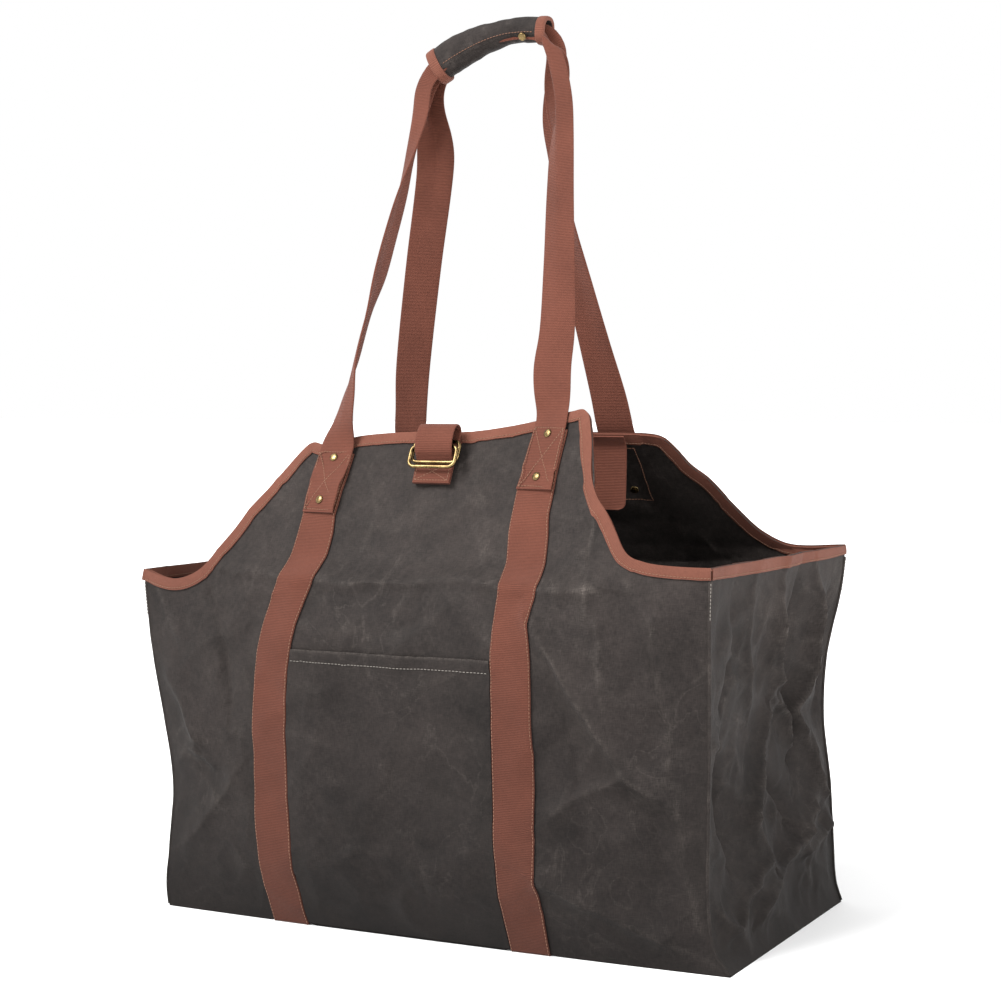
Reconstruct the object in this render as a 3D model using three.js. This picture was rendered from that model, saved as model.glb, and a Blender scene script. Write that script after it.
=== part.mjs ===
// Canvas log carrier: an open waxed-canvas bag with two raised panels, webbing
// straps that run round its base, long webbing handles and a wrapped grip.
// Millimetres, +Z up. +X runs along the bag, the front faces -Y, and the origin
// is on the floor at the middle of the base.
import * as THREE from 'three';

// Driving dimensions
const BASE_LENGTH = 600;
const BASE_DEPTH = 306;
const RIM_HEIGHT = 340;
const PANEL_HEIGHT = 470;
const POCKET_HEIGHT = 258;
const BULGE = 44;
const FRONT_LEAN = 66;
const BACK_LEAN = 104;
const END_TUCK = 9;
const CANVAS = 2;
const WEBBING_WIDTH = 38;
const WEBBING = 1.8;
const BINDING_DEPTH = 11;
const BINDING = 1.2;
const STRAP_SPACING = 240;
const SHOULDER_MARGIN = 16;
const SLOPE_RUN = 75;
const HANDLE_LAP = 54;
const LINING_LAP = 62;
const GRIP_HEIGHT = 827;
const GRIP_LENGTH = 118;
const GRIP_TALL = 30;
const GRIP_DEEP = 23;
const GRIP_SETBACK = 137;
const GRIP_DROP = 30;
const HANDLE_SPLIT = 4;
const FOLD_RISE = 8;
const FOLD_SPREAD = 20;
const RIVET_RADIUS = 4;
const RIVET_RISE = 1.8;
const RIVET_DROPS = [17, 55];
const SNAP_RADIUS = 4;
const TAB_PATCH = 22;
const TAB_LOOP = 31;
const TAB_STAND = 14;
const TAB_SHIFT = -1;
const RING_WIDTH = 50;
const RING_HEIGHT = 24;
const RING_WIRE = 3.3;
const RING_CORNER = 6;
const RING_STEP = 6;
const GRIP_BINDING = 8;
const GAP = 0.3;

// The vertical seams, by height as a share of the rim height: x as a share of
// half the base length, then y as a share of half the base depth.
const SEAM_X = [
  { height: 0, frontLeft: -0.893, frontRight: 1.01, backLeft: -0.97, backRight: 1 },
  { height: 0.06, frontLeft: -0.907, frontRight: 0.957, backLeft: -0.95, backRight: 0.98 },
  { height: 0.18, frontLeft: -0.9, frontRight: 0.934, backLeft: -0.92, backRight: 0.972 },
  { height: 0.35, frontLeft: -0.893, frontRight: 0.93, backLeft: -0.9, backRight: 0.963 },
  { height: 0.53, frontLeft: -0.93, frontRight: 0.93, backLeft: -0.9, backRight: 0.943 },
  { height: 0.7, frontLeft: -0.967, frontRight: 0.932, backLeft: -0.92, backRight: 0.947 },
  { height: 0.88, frontLeft: -0.987, frontRight: 0.934, backLeft: -0.95, backRight: 0.985 },
  { height: 1, frontLeft: -0.992, frontRight: 0.938, backLeft: -0.97, backRight: 1 },
];
const SEAM_Y = [
  { height: 0, front: -1.045, back: 0.96 },
  { height: 0.06, front: -1.03, back: 0.95 },
  { height: 0.18, front: -1.01, back: 0.94 },
  { height: 0.35, front: -0.99, back: 0.92 },
  { height: 0.53, front: -0.98, back: 0.9 },
  { height: 0.7, front: -0.99, back: 0.93 },
  { height: 0.88, front: -1.005, back: 0.97 },
  { height: 1, front: -1.01, back: 0.99 },
];

// How far the filled wall stands out in front of its seams, as a share of the
// bulge, by height as a share of the rim height.
const WALL_BULGE = [
  { height: 0, front: 0.1, back: 0.1 },
  { height: 0.06, front: 0.34, back: 0.3 },
  { height: 0.18, front: 0.74, back: 0.66 },
  { height: 0.35, front: 0.92, back: 0.84 },
  { height: 0.59, front: 1, back: 0.9 },
  { height: 0.76, front: 0.9, back: 0.8 },
  { height: 0.88, front: 0.62, back: 0.5 },
  { height: 0.945, front: 0.36, back: 0.24 },
  { height: 1, front: 0, back: 0 },
];

// Sideways place of each body strap, by height as a share of the panel height
// and x as a share of the strap spacing.
const STRAP_RUN = [
  { height: 0, frontLeft: -0.527, frontRight: 0.5, backLeft: -0.52, backRight: 0.47 },
  { height: 0.13, frontLeft: -0.55, frontRight: 0.49, backLeft: -0.53, backRight: 0.465 },
  { height: 0.38, frontLeft: -0.562, frontRight: 0.474, backLeft: -0.535, backRight: 0.46 },
  { height: 0.55, frontLeft: -0.535, frontRight: 0.468, backLeft: -0.535, backRight: 0.455 },
  { height: 0.64, frontLeft: -0.498, frontRight: 0.466, backLeft: -0.54, backRight: 0.445 },
  { height: 0.7, frontLeft: -0.467, frontRight: 0.47, backLeft: -0.545, backRight: 0.435 },
  { height: 0.82, frontLeft: -0.467, frontRight: 0.436, backLeft: -0.555, backRight: 0.415 },
  { height: 1, frontLeft: -0.46, frontRight: 0.452, backLeft: -0.565, backRight: 0.405 },
];

// Top edge of each big panel: x as a share of half the base length, heights as
// shares of the panel height.
const TOP_EDGE = [
  { x: -1, front: 0.685, back: 0.69 },
  { x: -0.88, front: 0.668, back: 0.685 },
  { x: -0.8, front: 0.677, back: 0.69 },
  { x: -0.74, front: 0.705, back: 0.715 },
  { x: -0.6, front: 0.84, back: 0.84 },
  { x: -0.49, front: 0.936, back: 0.935 },
  { x: -0.42, front: 0.937, back: 0.945 },
  { x: -0.3, front: 0.955, back: 0.955 },
  { x: -0.1, front: 0.964, back: 0.96 },
  { x: 0.1, front: 0.966, back: 0.96 },
  { x: 0.28, front: 0.984, back: 0.96 },
  { x: 0.43, front: 1.005, back: 0.958 },
  { x: 0.485, front: 1, back: 0.95 },
  { x: 0.52, front: 0.93, back: 0.925 },
  { x: 0.55, front: 0.862, back: 0.895 },
  { x: 0.6, front: 0.82, back: 0.865 },
  { x: 0.67, front: 0.755, back: 0.8 },
  { x: 0.73, front: 0.735, back: 0.757 },
  { x: 0.82, front: 0.728, back: 0.73 },
  { x: 1, front: 0.728, back: 0.732 },
];

// The raised panels sway along their top edge: y as a share of the front lean.
const TOP_SWAY = [
  { x: -1, front: 0.05, back: 0.02 },
  { x: -0.48, front: 0.1, back: 0.04 },
  { x: -0.28, front: -0.02, back: -0.02 },
  { x: 0, front: -0.05, back: -0.06 },
  { x: 0.27, front: 0.1, back: -0.02 },
  { x: 0.48, front: -0.18, back: 0.05 },
  { x: 1, front: -0.1, back: 0.02 },
];

// Folds in the cloth. x and y ends are shares of half the base length or
// depth, heights shares of the rim height, rise and spread shares of the fold
// sizes above.
const FRONT_FOLDS = [
  { fromX: -0.62, fromZ: 0.95, toX: 0.6, toZ: 0.94, rise: 0.45, spread: 0.7 },
  { fromX: 0.43, fromZ: 0.88, toX: 0.83, toZ: 0.42, rise: 0.8, spread: 0.9 },
  { fromX: 0.72, fromZ: 0.48, toX: 0.5, toZ: 0.38, rise: 0.5, spread: 0.8 },
  { fromX: 0.78, fromZ: 0.85, toX: 0.87, toZ: 0.23, rise: 0.6, spread: 0.8 },
  { fromX: 0.47, fromZ: 0.2, toX: 0.92, toZ: 0.03, rise: 0.6, spread: 0.8 },
  { fromX: -0.9, fromZ: 0.65, toX: -0.77, toZ: 0.5, rise: 0.7, spread: 0.9 },
  { fromX: -0.83, fromZ: 0.18, toX: -0.6, toZ: 0.38, rise: 0.4, spread: 0.9 },
];
const BACK_FOLDS = [
  { fromX: -0.62, fromZ: 0.95, toX: 0.6, toZ: 0.95, rise: 0.4, spread: 0.7 },
  { fromX: -0.5, fromZ: 0.85, toX: -0.85, toZ: 0.4, rise: 0.6, spread: 0.9 },
  { fromX: 0.6, fromZ: 0.8, toX: 0.8, toZ: 0.3, rise: 0.6, spread: 0.9 },
];
const RIGHT_FOLDS = [
  { fromY: 0.07, fromZ: 1, toY: 0.05, toZ: 0.72, rise: 1, spread: 0.9 },
  { fromY: 0.3, fromZ: 0.95, toY: 0.27, toZ: 0.62, rise: -1.1, spread: 0.9 },
  { fromY: 0.55, fromZ: 0.94, toY: 0.62, toZ: 0.58, rise: 1, spread: 0.9 },
  { fromY: 0.45, fromZ: 0.58, toY: 0.5, toZ: 0.42, rise: -1.3, spread: 0.9 },
  { fromY: -0.03, fromZ: 0.6, toY: -0.3, toZ: 0.32, rise: 1.1, spread: 0.9 },
  { fromY: -0.75, fromZ: 0.52, toY: -0.62, toZ: 0.26, rise: -1, spread: 1 },
  { fromY: 0.4, fromZ: 0.27, toY: -0.4, toZ: 0.09, rise: 1.1, spread: 0.9 },
  { fromY: 0.15, fromZ: 0.38, toY: 0.3, toZ: 0.3, rise: -0.8, spread: 0.9 },
];
const LEFT_FOLDS = [
  { fromY: -0.2, fromZ: 1, toY: -0.1, toZ: 0.68, rise: 0.9, spread: 0.9 },
  { fromY: 0.25, fromZ: 0.98, toY: 0.2, toZ: 0.6, rise: -1, spread: 0.9 },
  { fromY: -0.55, fromZ: 0.75, toY: -0.3, toZ: 0.45, rise: -0.8, spread: 1 },
  { fromY: 0.6, fromZ: 0.9, toY: 0.45, toZ: 0.4, rise: 0.9, spread: 1 },
  { fromY: -0.5, fromZ: 0.3, toY: 0.4, toZ: 0.12, rise: 0.9, spread: 0.9 },
];

// The free runs of the handles, from the panel's edge to the grip. rise is the
// share of the climb, bow the sideways sway as a share of the strap spacing,
// turn the angle that the webbing's width makes with X in degrees, and fold how
// far it is doubled over lengthwise.
const FRONT_LEFT_RUN = [
  { rise: 0, bow: 0, turn: -12, fold: 0 },
  { rise: 0.05, bow: -0.004, turn: -34, fold: 0.05 },
  { rise: 0.125, bow: -0.008, turn: -45, fold: 0.08 },
  { rise: 0.206, bow: -0.01, turn: -62, fold: 0.08 },
  { rise: 0.284, bow: -0.01, turn: -64, fold: 0.08 },
  { rise: 0.365, bow: -0.006, turn: -66, fold: 0.06 },
  { rise: 0.443, bow: 0.002, turn: -77, fold: 0.06 },
  { rise: 0.55, bow: 0.006, turn: -78, fold: 0.06 },
  { rise: 0.68, bow: 0.012, turn: -74, fold: 0.12 },
  { rise: 0.8, bow: 0.014, turn: -60, fold: 0.3 },
  { rise: 0.92, bow: 0.016, turn: -60, fold: 0.6 },
  { rise: 1, bow: 0, turn: -84, fold: 0.9 },
];
const FRONT_RIGHT_RUN = [
  { rise: 0, bow: 0, turn: -22, fold: 0 },
  { rise: 0.05, bow: -0.004, turn: -6, fold: 0 },
  { rise: 0.13, bow: -0.004, turn: -2, fold: 0 },
  { rise: 0.21, bow: 0.015, turn: -8, fold: 0.03 },
  { rise: 0.4, bow: 0.022, turn: -18, fold: 0.08 },
  { rise: 0.6, bow: 0.026, turn: -25, fold: 0.12 },
  { rise: 0.75, bow: 0.031, turn: -32, fold: 0.25 },
  { rise: 0.85, bow: 0.042, turn: -52, fold: 0.5 },
  { rise: 0.94, bow: 0.028, turn: -76, fold: 0.8 },
  { rise: 1, bow: 0, turn: -88, fold: 0.92 },
];
const BACK_LEFT_RUN = [
  { rise: 0, bow: 0, turn: 0, fold: 0 },
  { rise: 0.06, bow: 0, turn: -6, fold: 0.03 },
  { rise: 0.2, bow: -0.007, turn: 2, fold: 0 },
  { rise: 0.5, bow: 0.011, turn: 6, fold: 0 },
  { rise: 0.7, bow: 0.032, turn: 9, fold: 0.05 },
  { rise: 0.79, bow: 0.036, turn: 12, fold: 0.12 },
  { rise: 0.86, bow: 0.022, turn: 30, fold: 0.4 },
  { rise: 0.93, bow: -0.002, turn: 62, fold: 0.7 },
  { rise: 1, bow: 0, turn: 86, fold: 0.9 },
];
const BACK_RIGHT_RUN = [
  { rise: 0, bow: 0, turn: 3, fold: 0 },
  { rise: 0.08, bow: -0.006, turn: -1, fold: 0 },
  { rise: 0.22, bow: -0.032, turn: -14, fold: 0.05 },
  { rise: 0.42, bow: -0.069, turn: -26, fold: 0.08 },
  { rise: 0.55, bow: -0.085, turn: -38, fold: 0.12 },
  { rise: 0.7, bow: -0.086, turn: -50, fold: 0.2 },
  { rise: 0.82, bow: -0.09, turn: -56, fold: 0.4 },
  { rise: 0.93, bow: -0.045, turn: -72, fold: 0.75 },
  { rise: 1, bow: 0, turn: -86, fold: 0.9 },
];

// The grip along its length: how far its centre line drops below the grip's
// height, as a share of the grip drop, and its height as a share of its own.
const GRIP_LINE = [
  { along: 0, drop: 0.95, tall: 1.12 },
  { along: 0.18, drop: 0.57, tall: 1.1 },
  { along: 0.4, drop: 0.23, tall: 1.03 },
  { along: 0.62, drop: 0.03, tall: 1 },
  { along: 0.82, drop: 0, tall: 1 },
  { along: 1, drop: 0.06, tall: 1 },
];

// Shapes that have no length: how square the crown of a wall and the section
// of the grip are, how fast folds die out at a seam, where along the grip x is
// 0, how far the handles are doubled inside it, and how their feet spread.
const CROWN_POWER = 2.6;
const GRIP_ROUND = 0.8;
const SEAM_FADE = 12;
const GRIP_MIDDLE = 0.46;
const GRIP_STEP = 0.02;
const GRIP_TURN = 0.1;
const GRIP_FOLD = 0.955;
const MITRE_LIMIT = 0.6;
const TAIL = { drop: 0.42, left: 0.25, right: 0.3 };
const RING_REST = 0.8;

// Round stud: radius and height as shares of its radius and rise.
const DOME_LINE = [
  { radius: 0, rise: 0 },
  { radius: 1, rise: 0 },
  { radius: 1, rise: 0.4 },
  { radius: 0.6, rise: 0.9 },
  { radius: 0, rise: 1 },
];

// The tab's path from its lower end up, over the edge and down again: rise as
// shares of its loop and patch, stand as a share of its stand-off. The last two
// rows lie on the first two.
const TAB_LINE = [
  { loop: -1, patch: -1, stand: 0 },
  { loop: -1, patch: 0, stand: 0 },
  { loop: -0.5, patch: 0, stand: 0 },
  { loop: -0.06, patch: 0, stand: 0 },
  { loop: 0.05, patch: 0, stand: 0.16 },
  { loop: 0.085, patch: 0, stand: 0.4 },
  { loop: 0.05, patch: 0, stand: 0.7 },
  { loop: -0.1, patch: 0, stand: 0.93 },
  { loop: -0.32, patch: 0, stand: 1 },
  { loop: -0.55, patch: 0, stand: 0.97 },
  { loop: -0.78, patch: 0, stand: 0.74 },
  { loop: -0.92, patch: 0, stand: 0.34 },
  { loop: -1.02, patch: 0, lies: true },
  { loop: -1, patch: -1, lies: true },
];

// Mesh resolution
const ROW_CELLS = [7, 2, 4, 1, 1];
const BASE_CELLS = 2;
const END_CELLS = 10;
const END_ROWS = 11;
const FREE_CELLS = 17;
const GRIP_CELLS = 7;
const GRIP_SIDES = 12;
const RING_SIDES = 6;
const CORNER_CELLS = 4;
const LATHE_SIDES = 10;

// Worked-out sizes
const HALF_LENGTH = BASE_LENGTH / 2;
const HALF_DEPTH = BASE_DEPTH / 2;
const HALF_WEB = WEBBING_WIDTH / 2;
const CREASE_HEIGHT = lerp(POCKET_HEIGHT, RIM_HEIGHT, 0.5);
const STRAP_LIFT = WEBBING + GAP;
const EDGE_CLEAR = 2 * GAP;
const SNAP_CLEAR = 2 * GAP;
const BASE_INSET = CANVAS * 1.25 + GAP;
const END_INSET = CANVAS * 1.1 + GAP;
const END_NARROW = (2 * (BINDING + GAP) + GAP) / BASE_DEPTH;
const RIM_TRIM = CANVAS + 3 * GAP;
const LAP_MARGIN = 5;
const RAMP_RUN = 6;
const STRAP_STOP = BINDING_DEPTH + 4 * GAP;
const STRAP_LAYER = [GAP, GAP + WEBBING];
const HANDLE_LAYER = [3 * GAP + WEBBING, 3 * GAP + 2 * WEBBING];
const RIVET_CLEAR = 2 * GAP;
const LINING_LAYER = [-CANVAS - GAP - WEBBING, -CANVAS - GAP];
const FLAP_LAYER = [-CANVAS - 2 * GAP - BINDING - WEBBING, -CANVAS - 2 * GAP - BINDING];

const CANVAS_LOOK = { color: 0x4a4641, roughness: 0.85, metalness: 0 };
const WEBBING_LOOK = { color: 0x8c5041, roughness: 0.9, metalness: 0 };
const BINDING_LOOK = { color: 0xa05f4a, roughness: 0.9, metalness: 0 };
const BRASS_LOOK = { color: 0x9a8048, roughness: 0.35, metalness: 1 };

const carrier = new THREE.Group();

function lerp(a, b, share) {
  return a + (b - a) * share;
}

function clamp01(value) {
  return Math.min(1, Math.max(0, value));
}

// Smooth curve through a table's rows: key is the column that it runs along.
function follow(table, key, column, at) {
  const last = table.length - 1;
  if (at <= table[0][key]) return table[0][column];
  if (at >= table[last][key]) return table[last][column];
  let i = 0;
  while (table[i + 1][key] < at) i += 1;
  const span = table[i + 1][key] - table[i][key];
  const slope = (k) => {
    const a = Math.max(0, k - 1);
    const b = Math.min(last, k + 1);
    return (table[b][column] - table[a][column]) / (table[b][key] - table[a][key]);
  };
  const t = (at - table[i][key]) / span;
  const blend = t * t * (3 - 2 * t);
  const straight = lerp(table[i][column], table[i + 1][column], blend);
  const left = slope(i) * span * t * (1 - t) * (1 - t);
  const right = slope(i + 1) * span * t * t * (1 - t);
  return straight + left - right;
}

// Sum of the folds at a place on a wall: each is a rounded ridge along a line.
function foldRise(folds, across, along, up) {
  let rise = 0;
  for (const fold of folds) {
    const ax = (fold[`from${across}`]) * (across === 'X' ? HALF_LENGTH : HALF_DEPTH);
    const bx = (fold[`to${across}`]) * (across === 'X' ? HALF_LENGTH : HALF_DEPTH);
    const az = fold.fromZ * RIM_HEIGHT;
    const bz = fold.toZ * RIM_HEIGHT;
    const length = (bx - ax) ** 2 + (bz - az) ** 2;
    const t = clamp01(((along - ax) * (bx - ax) + (up - az) * (bz - az)) / length);
    const away = Math.hypot(along - lerp(ax, bx, t), up - lerp(az, bz, t));
    const spread = fold.spread * FOLD_SPREAD;
    rise += fold.rise * FOLD_RISE * Math.exp(-((away / spread) ** 2));
  }
  return rise;
}

// Big panels

// Each side of the bag names its own columns in the tables and faces along
// out * Y.
const FRONT = {
  out: -1,
  edge: 'front',
  left: 'frontLeft',
  right: 'frontRight',
  lean: FRONT_LEAN,
  folds: FRONT_FOLDS,
};
const BACK = {
  out: 1,
  edge: 'back',
  left: 'backLeft',
  right: 'backRight',
  lean: BACK_LEAN,
  folds: BACK_FOLDS,
};

// Folds die out towards the seams, the floor and the bound edge.
function foldFade(place, z, top) {
  const sides = clamp01(SEAM_FADE * place) * clamp01(SEAM_FADE * (1 - place));
  const foot = clamp01(z / (2 * FOLD_SPREAD));
  const edge = clamp01((top - STRAP_STOP - z) / FOLD_SPREAD);
  return sides * foot * edge;
}

function seamX(side, corner, z) {
  return follow(SEAM_X, 'height', side[corner], z / RIM_HEIGHT) * HALF_LENGTH;
}

function seamY(side, z) {
  return follow(SEAM_Y, 'height', side.edge, z / RIM_HEIGHT) * HALF_DEPTH;
}

function strapX(side, corner, z) {
  return follow(STRAP_RUN, 'height', side[corner], z / PANEL_HEIGHT) * STRAP_SPACING;
}

function topHeight(side, x) {
  return followStraight(TOP_EDGE, 'x', side.edge, x / HALF_LENGTH) * PANEL_HEIGHT;
}

function followStraight(table, key, column, at) {
  const last = table.length - 1;
  if (at <= table[0][key]) return table[0][column];
  if (at >= table[last][key]) return table[last][column];
  let i = 0;
  while (table[i + 1][key] < at) i += 1;
  const share = (at - table[i][key]) / (table[i + 1][key] - table[i][key]);
  return lerp(table[i][column], table[i + 1][column], share);
}

// y of the wall's outer face: the seams' depth, the bulge between them, the
// folds, the lean above the rim and the sway of the top.
function wallY(side, x, z) {
  const left = seamX(side, 'left', Math.min(z, RIM_HEIGHT));
  const right = seamX(side, 'right', Math.min(z, RIM_HEIGHT));
  const place = clamp01((x - left) / (right - left));
  const crown = 1 - Math.abs(2 * place - 1) ** CROWN_POWER;
  const height = z / RIM_HEIGHT;
  const bulge = follow(WALL_BULGE, 'height', side.edge, height) * BULGE * crown;
  const above = Math.max(0, z - RIM_HEIGHT) / (PANEL_HEIGHT - RIM_HEIGHT);
  const sway = follow(TOP_SWAY, 'x', side.edge, x / HALF_LENGTH) * FRONT_LEAN * clamp01(above);
  const fold = foldRise(side.folds, 'X', x, z) * foldFade(place, z, topHeight(side, x));
  return seamY(side, Math.min(z, RIM_HEIGHT)) + side.out * (bulge + fold - side.lean * above) + sway;
}

// The columns of cells across a big panel. A column lies between two named
// lines, and every layer on the panel uses the same columns.
function columnLines(side) {
  const strapLine = (corner, offset) => (z) => strapX(side, corner, z) + offset;
  const left = (offset) => strapLine('left', offset);
  const right = (offset) => strapLine('right', offset);
  const shoulder = HALF_WEB + SHOULDER_MARGIN;
  const foot = shoulder + SLOPE_RUN;
  const clear = HALF_WEB + EDGE_CLEAR;
  const ramp = clear + RAMP_RUN;
  return [
    { name: 'leftSeam', x: (z) => seamX(side, 'left', Math.min(z, RIM_HEIGHT)), cells: 3 },
    { name: 'leftFoot', x: left(-foot), cells: 3 },
    { name: 'leftShoulder', x: left(-shoulder), cells: 1 },
    { name: 'leftRamp', x: left(-ramp), cells: 1 },
    { name: 'leftClear', x: left(-clear), cells: 1, lifted: true },
    { name: 'leftStrapA', x: left(-HALF_WEB), cells: 1, lifted: true },
    { name: 'leftStrapMid', x: left(0), cells: 1, lifted: true },
    { name: 'leftStrapB', x: left(HALF_WEB), cells: 1, lifted: true },
    { name: 'leftInner', x: left(clear), cells: 1, lifted: true },
    { name: 'leftInnerRamp', x: left(ramp), cells: 6 },
    { name: 'rightInnerRamp', x: right(-ramp), cells: 1 },
    { name: 'rightInner', x: right(-clear), cells: 1, lifted: true },
    { name: 'rightStrapA', x: right(-HALF_WEB), cells: 1, lifted: true },
    { name: 'rightStrapMid', x: right(0), cells: 1, lifted: true },
    { name: 'rightStrapB', x: right(HALF_WEB), cells: 1, lifted: true },
    { name: 'rightClear', x: right(clear), cells: 1, lifted: true },
    { name: 'rightRamp', x: right(ramp), cells: 1 },
    { name: 'rightShoulder', x: right(shoulder), cells: 3 },
    { name: 'rightFoot', x: right(foot), cells: 3 },
    { name: 'rightSeam', x: (z) => seamX(side, 'right', Math.min(z, RIM_HEIGHT)), cells: 0 },
  ];
}

function panelColumns(side) {
  const lines = columnLines(side);
  const columns = [];
  lines.forEach((line, k) => {
    const next = lines[k + 1];
    for (let cell = 0; cell < Math.max(1, line.cells); cell += 1) {
      const share = line.cells ? cell / line.cells : 0;
      const x = next ? (z) => lerp(line.x(z), next.x(z), share) : line.x;
      const first = cell === 0;
      columns.push({ name: first ? line.name : '', x, lift: line.lifted && first ? STRAP_LIFT : 0 });
    }
  });
  return columns;
}

// The rows of cells up a big panel: floor to pocket top, to the crease below
// the rim, to the strap's end, to the foot of the binding, to the edge.
function rowPlaces() {
  const rows = [];
  ROW_CELLS.forEach((cells, section) => {
    for (let cell = 0; cell < cells; cell += 1) rows.push({ section, share: cell / cells });
  });
  rows.push({ section: ROW_CELLS.length - 1, share: 1 });
  return rows;
}

const ROWS = rowPlaces();
const POCKET_ROW = ROW_CELLS[0];
const LAST_ROW = ROWS.length - 1;
const STRAP_TOP_ROW = LAST_ROW - 2;

function rowHeight(row, floor, top, stretch) {
  const strapEnd = top - STRAP_STOP * stretch;
  const tapeFoot = top - BINDING_DEPTH * stretch;
  const levels = [floor, POCKET_HEIGHT, CREASE_HEIGHT, strapEnd, tapeFoot, top];
  return lerp(levels[row.section], levels[row.section + 1], row.share);
}

// Outer points and outward normals of a big panel: grid[column][row].
function panelGrid(side) {
  const columns = panelColumns(side);
  const grid = columns.map((column) => {
    const edgeX = column.x(PANEL_HEIGHT);
    const top = topHeight(side, edgeX);
    const climb = topHeight(side, edgeX + BINDING_DEPTH) - topHeight(side, edgeX - BINDING_DEPTH);
    const stretch = Math.hypot(1, climb / (2 * BINDING_DEPTH));
    return ROWS.map((row) => {
      const z = rowHeight(row, column.lift, top, stretch);
      const x = column.x(z);
      return { point: new THREE.Vector3(x, wallY(side, x, z), z) };
    });
  });
  addNormals(grid, side.out < 0 ? 1 : -1);
  const at = (name) => columns.findIndex((column) => column.name === name);
  return { side, grid, at };
}

// Normals from the neighbours of each grid point, level along the foot.
function addNormals(grid, sign) {
  grid.forEach((line, i) => {
    line.forEach((node, j) => {
      const across = new THREE.Vector3().subVectors(
        grid[Math.min(i + 1, grid.length - 1)][j].point,
        grid[Math.max(i - 1, 0)][j].point,
      );
      const up = new THREE.Vector3().subVectors(
        line[Math.min(j + 1, line.length - 1)].point,
        line[Math.max(j - 1, 0)].point,
      );
      node.normal = across.cross(up);
      if (j === 0) node.normal.z = 0;
      node.normal.normalize().multiplyScalar(sign);
    });
  });
}

function offset(node, distance) {
  return node.point.clone().addScaledVector(node.normal, distance);
}

// Closed sheet between two grids of points of the same size. Each cell is split
// along the diagonal that lies further out. Layers on one wall take that from
// the wall's own nodes, the guide, so that they stay parallel to it.
function sheet(outer, inner, guide) {
  const across = outer.length;
  const along = outer[0].length;
  const points = [...outer.flat(), ...inner.flat()];
  const second = across * along;
  const faces = [];
  const quad = (a, b, c, d) => faces.push(a, b, c, a, c, d);
  const id = (i, j) => i * along + j;
  for (let i = 0; i < across - 1; i += 1) {
    for (let j = 0; j < along - 1; j += 1) {
      const cell = [[i, j], [i + 1, j], [i + 1, j + 1], [i, j + 1]];
      const nodes = cell.map(([m, n]) => (guide ? guide[m][n] : {
        point: outer[m][n],
        normal: outer[m][n].clone().sub(inner[m][n]),
      }));
      const [a, b, c, d] = outwardSplit(cell.map(([m, n]) => id(m, n)), nodes);
      quad(a, b, c, d);
      faces.push(second + a, second + c, second + b, second + a, second + d, second + c);
    }
  }
  for (let i = 0; i < across - 1; i += 1) {
    quad(id(i + 1, 0), id(i, 0), second + id(i, 0), second + id(i + 1, 0));
    const end = along - 1;
    quad(id(i, end), id(i + 1, end), second + id(i + 1, end), second + id(i, end));
  }
  for (let j = 0; j < along - 1; j += 1) {
    quad(id(0, j), id(0, j + 1), second + id(0, j + 1), second + id(0, j));
    const end = across - 1;
    quad(id(end, j + 1), id(end, j), second + id(end, j), second + id(end, j + 1));
  }
  return closedGeometry(points, faces);
}

function outwardSplit([a, b, c, d], nodes) {
  const out = new THREE.Vector3();
  for (const node of nodes) out.add(node.normal);
  const first = nodes[0].point.clone().add(nodes[2].point).dot(out);
  const other = nodes[1].point.clone().add(nodes[3].point).dot(out);
  return first >= other ? [a, b, c, d] : [b, c, d, a];
}

// Closed skin over rings of points that join up in both directions.
function doughnut(rings) {
  const sides = rings[0].length;
  const points = rings.flat();
  const faces = [];
  rings.forEach((ring, i) => {
    const next = (i + 1) % rings.length;
    for (let j = 0; j < sides; j += 1) {
      const k = (j + 1) % sides;
      const [a, b, c, d] = [i * sides + j, next * sides + j, next * sides + k, i * sides + k];
      faces.push(a, b, c, a, c, d);
    }
  });
  return closedGeometry(points, faces);
}

// Geometry with its faces pointing out: a negative volume is turned round.
function closedGeometry(points, faces) {
  let volume = 0;
  const cross = new THREE.Vector3();
  for (let i = 0; i < faces.length; i += 3) {
    cross.crossVectors(points[faces[i + 1]], points[faces[i + 2]]);
    volume += points[faces[i]].dot(cross);
  }
  const index = volume > 0 ? faces : [...faces].reverse();
  const geometry = new THREE.BufferGeometry();
  const numbers = points.flatMap((point) => point.toArray());
  geometry.setAttribute('position', new THREE.Float32BufferAttribute(numbers, 3));
  geometry.setIndex(index);
  geometry.computeVertexNormals();
  return geometry;
}

function addPiece(name, geometry, look) {
  const mesh = new THREE.Mesh(geometry, new THREE.MeshStandardMaterial(look));
  mesh.name = name;
  carrier.add(mesh);
  return mesh;
}

// Part of a panel's grid as a layer of cloth between two distances out from
// the canvas.
function layer(panel, firstColumn, lastColumn, firstRow, lastRow, from, to) {
  const columns = panel.grid.slice(firstColumn, lastColumn + 1);
  const part = columns.map((line) => line.slice(firstRow, lastRow + 1));
  const at = (distance) => part.map((line) => line.map((node) => offset(node, distance)));
  return sheet(at(to), at(from), part);
}

const front = panelGrid(FRONT);
const back = panelGrid(BACK);
const LAST_COLUMN = front.grid.length - 1;

addPiece('front_panel', layer(front, 0, LAST_COLUMN, 0, LAST_ROW, -CANVAS, 0), CANVAS_LOOK);
addPiece('back_panel', layer(back, 0, LAST_COLUMN, 0, LAST_ROW, -CANVAS, 0), CANVAS_LOOK);

// Pocket sewn between the front straps
addPiece(
  'front_pocket',
  layer(front, front.at('leftInner'), front.at('rightInner'), 1, POCKET_ROW, GAP, GAP + CANVAS),
  CANVAS_LOOK,
);

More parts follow.
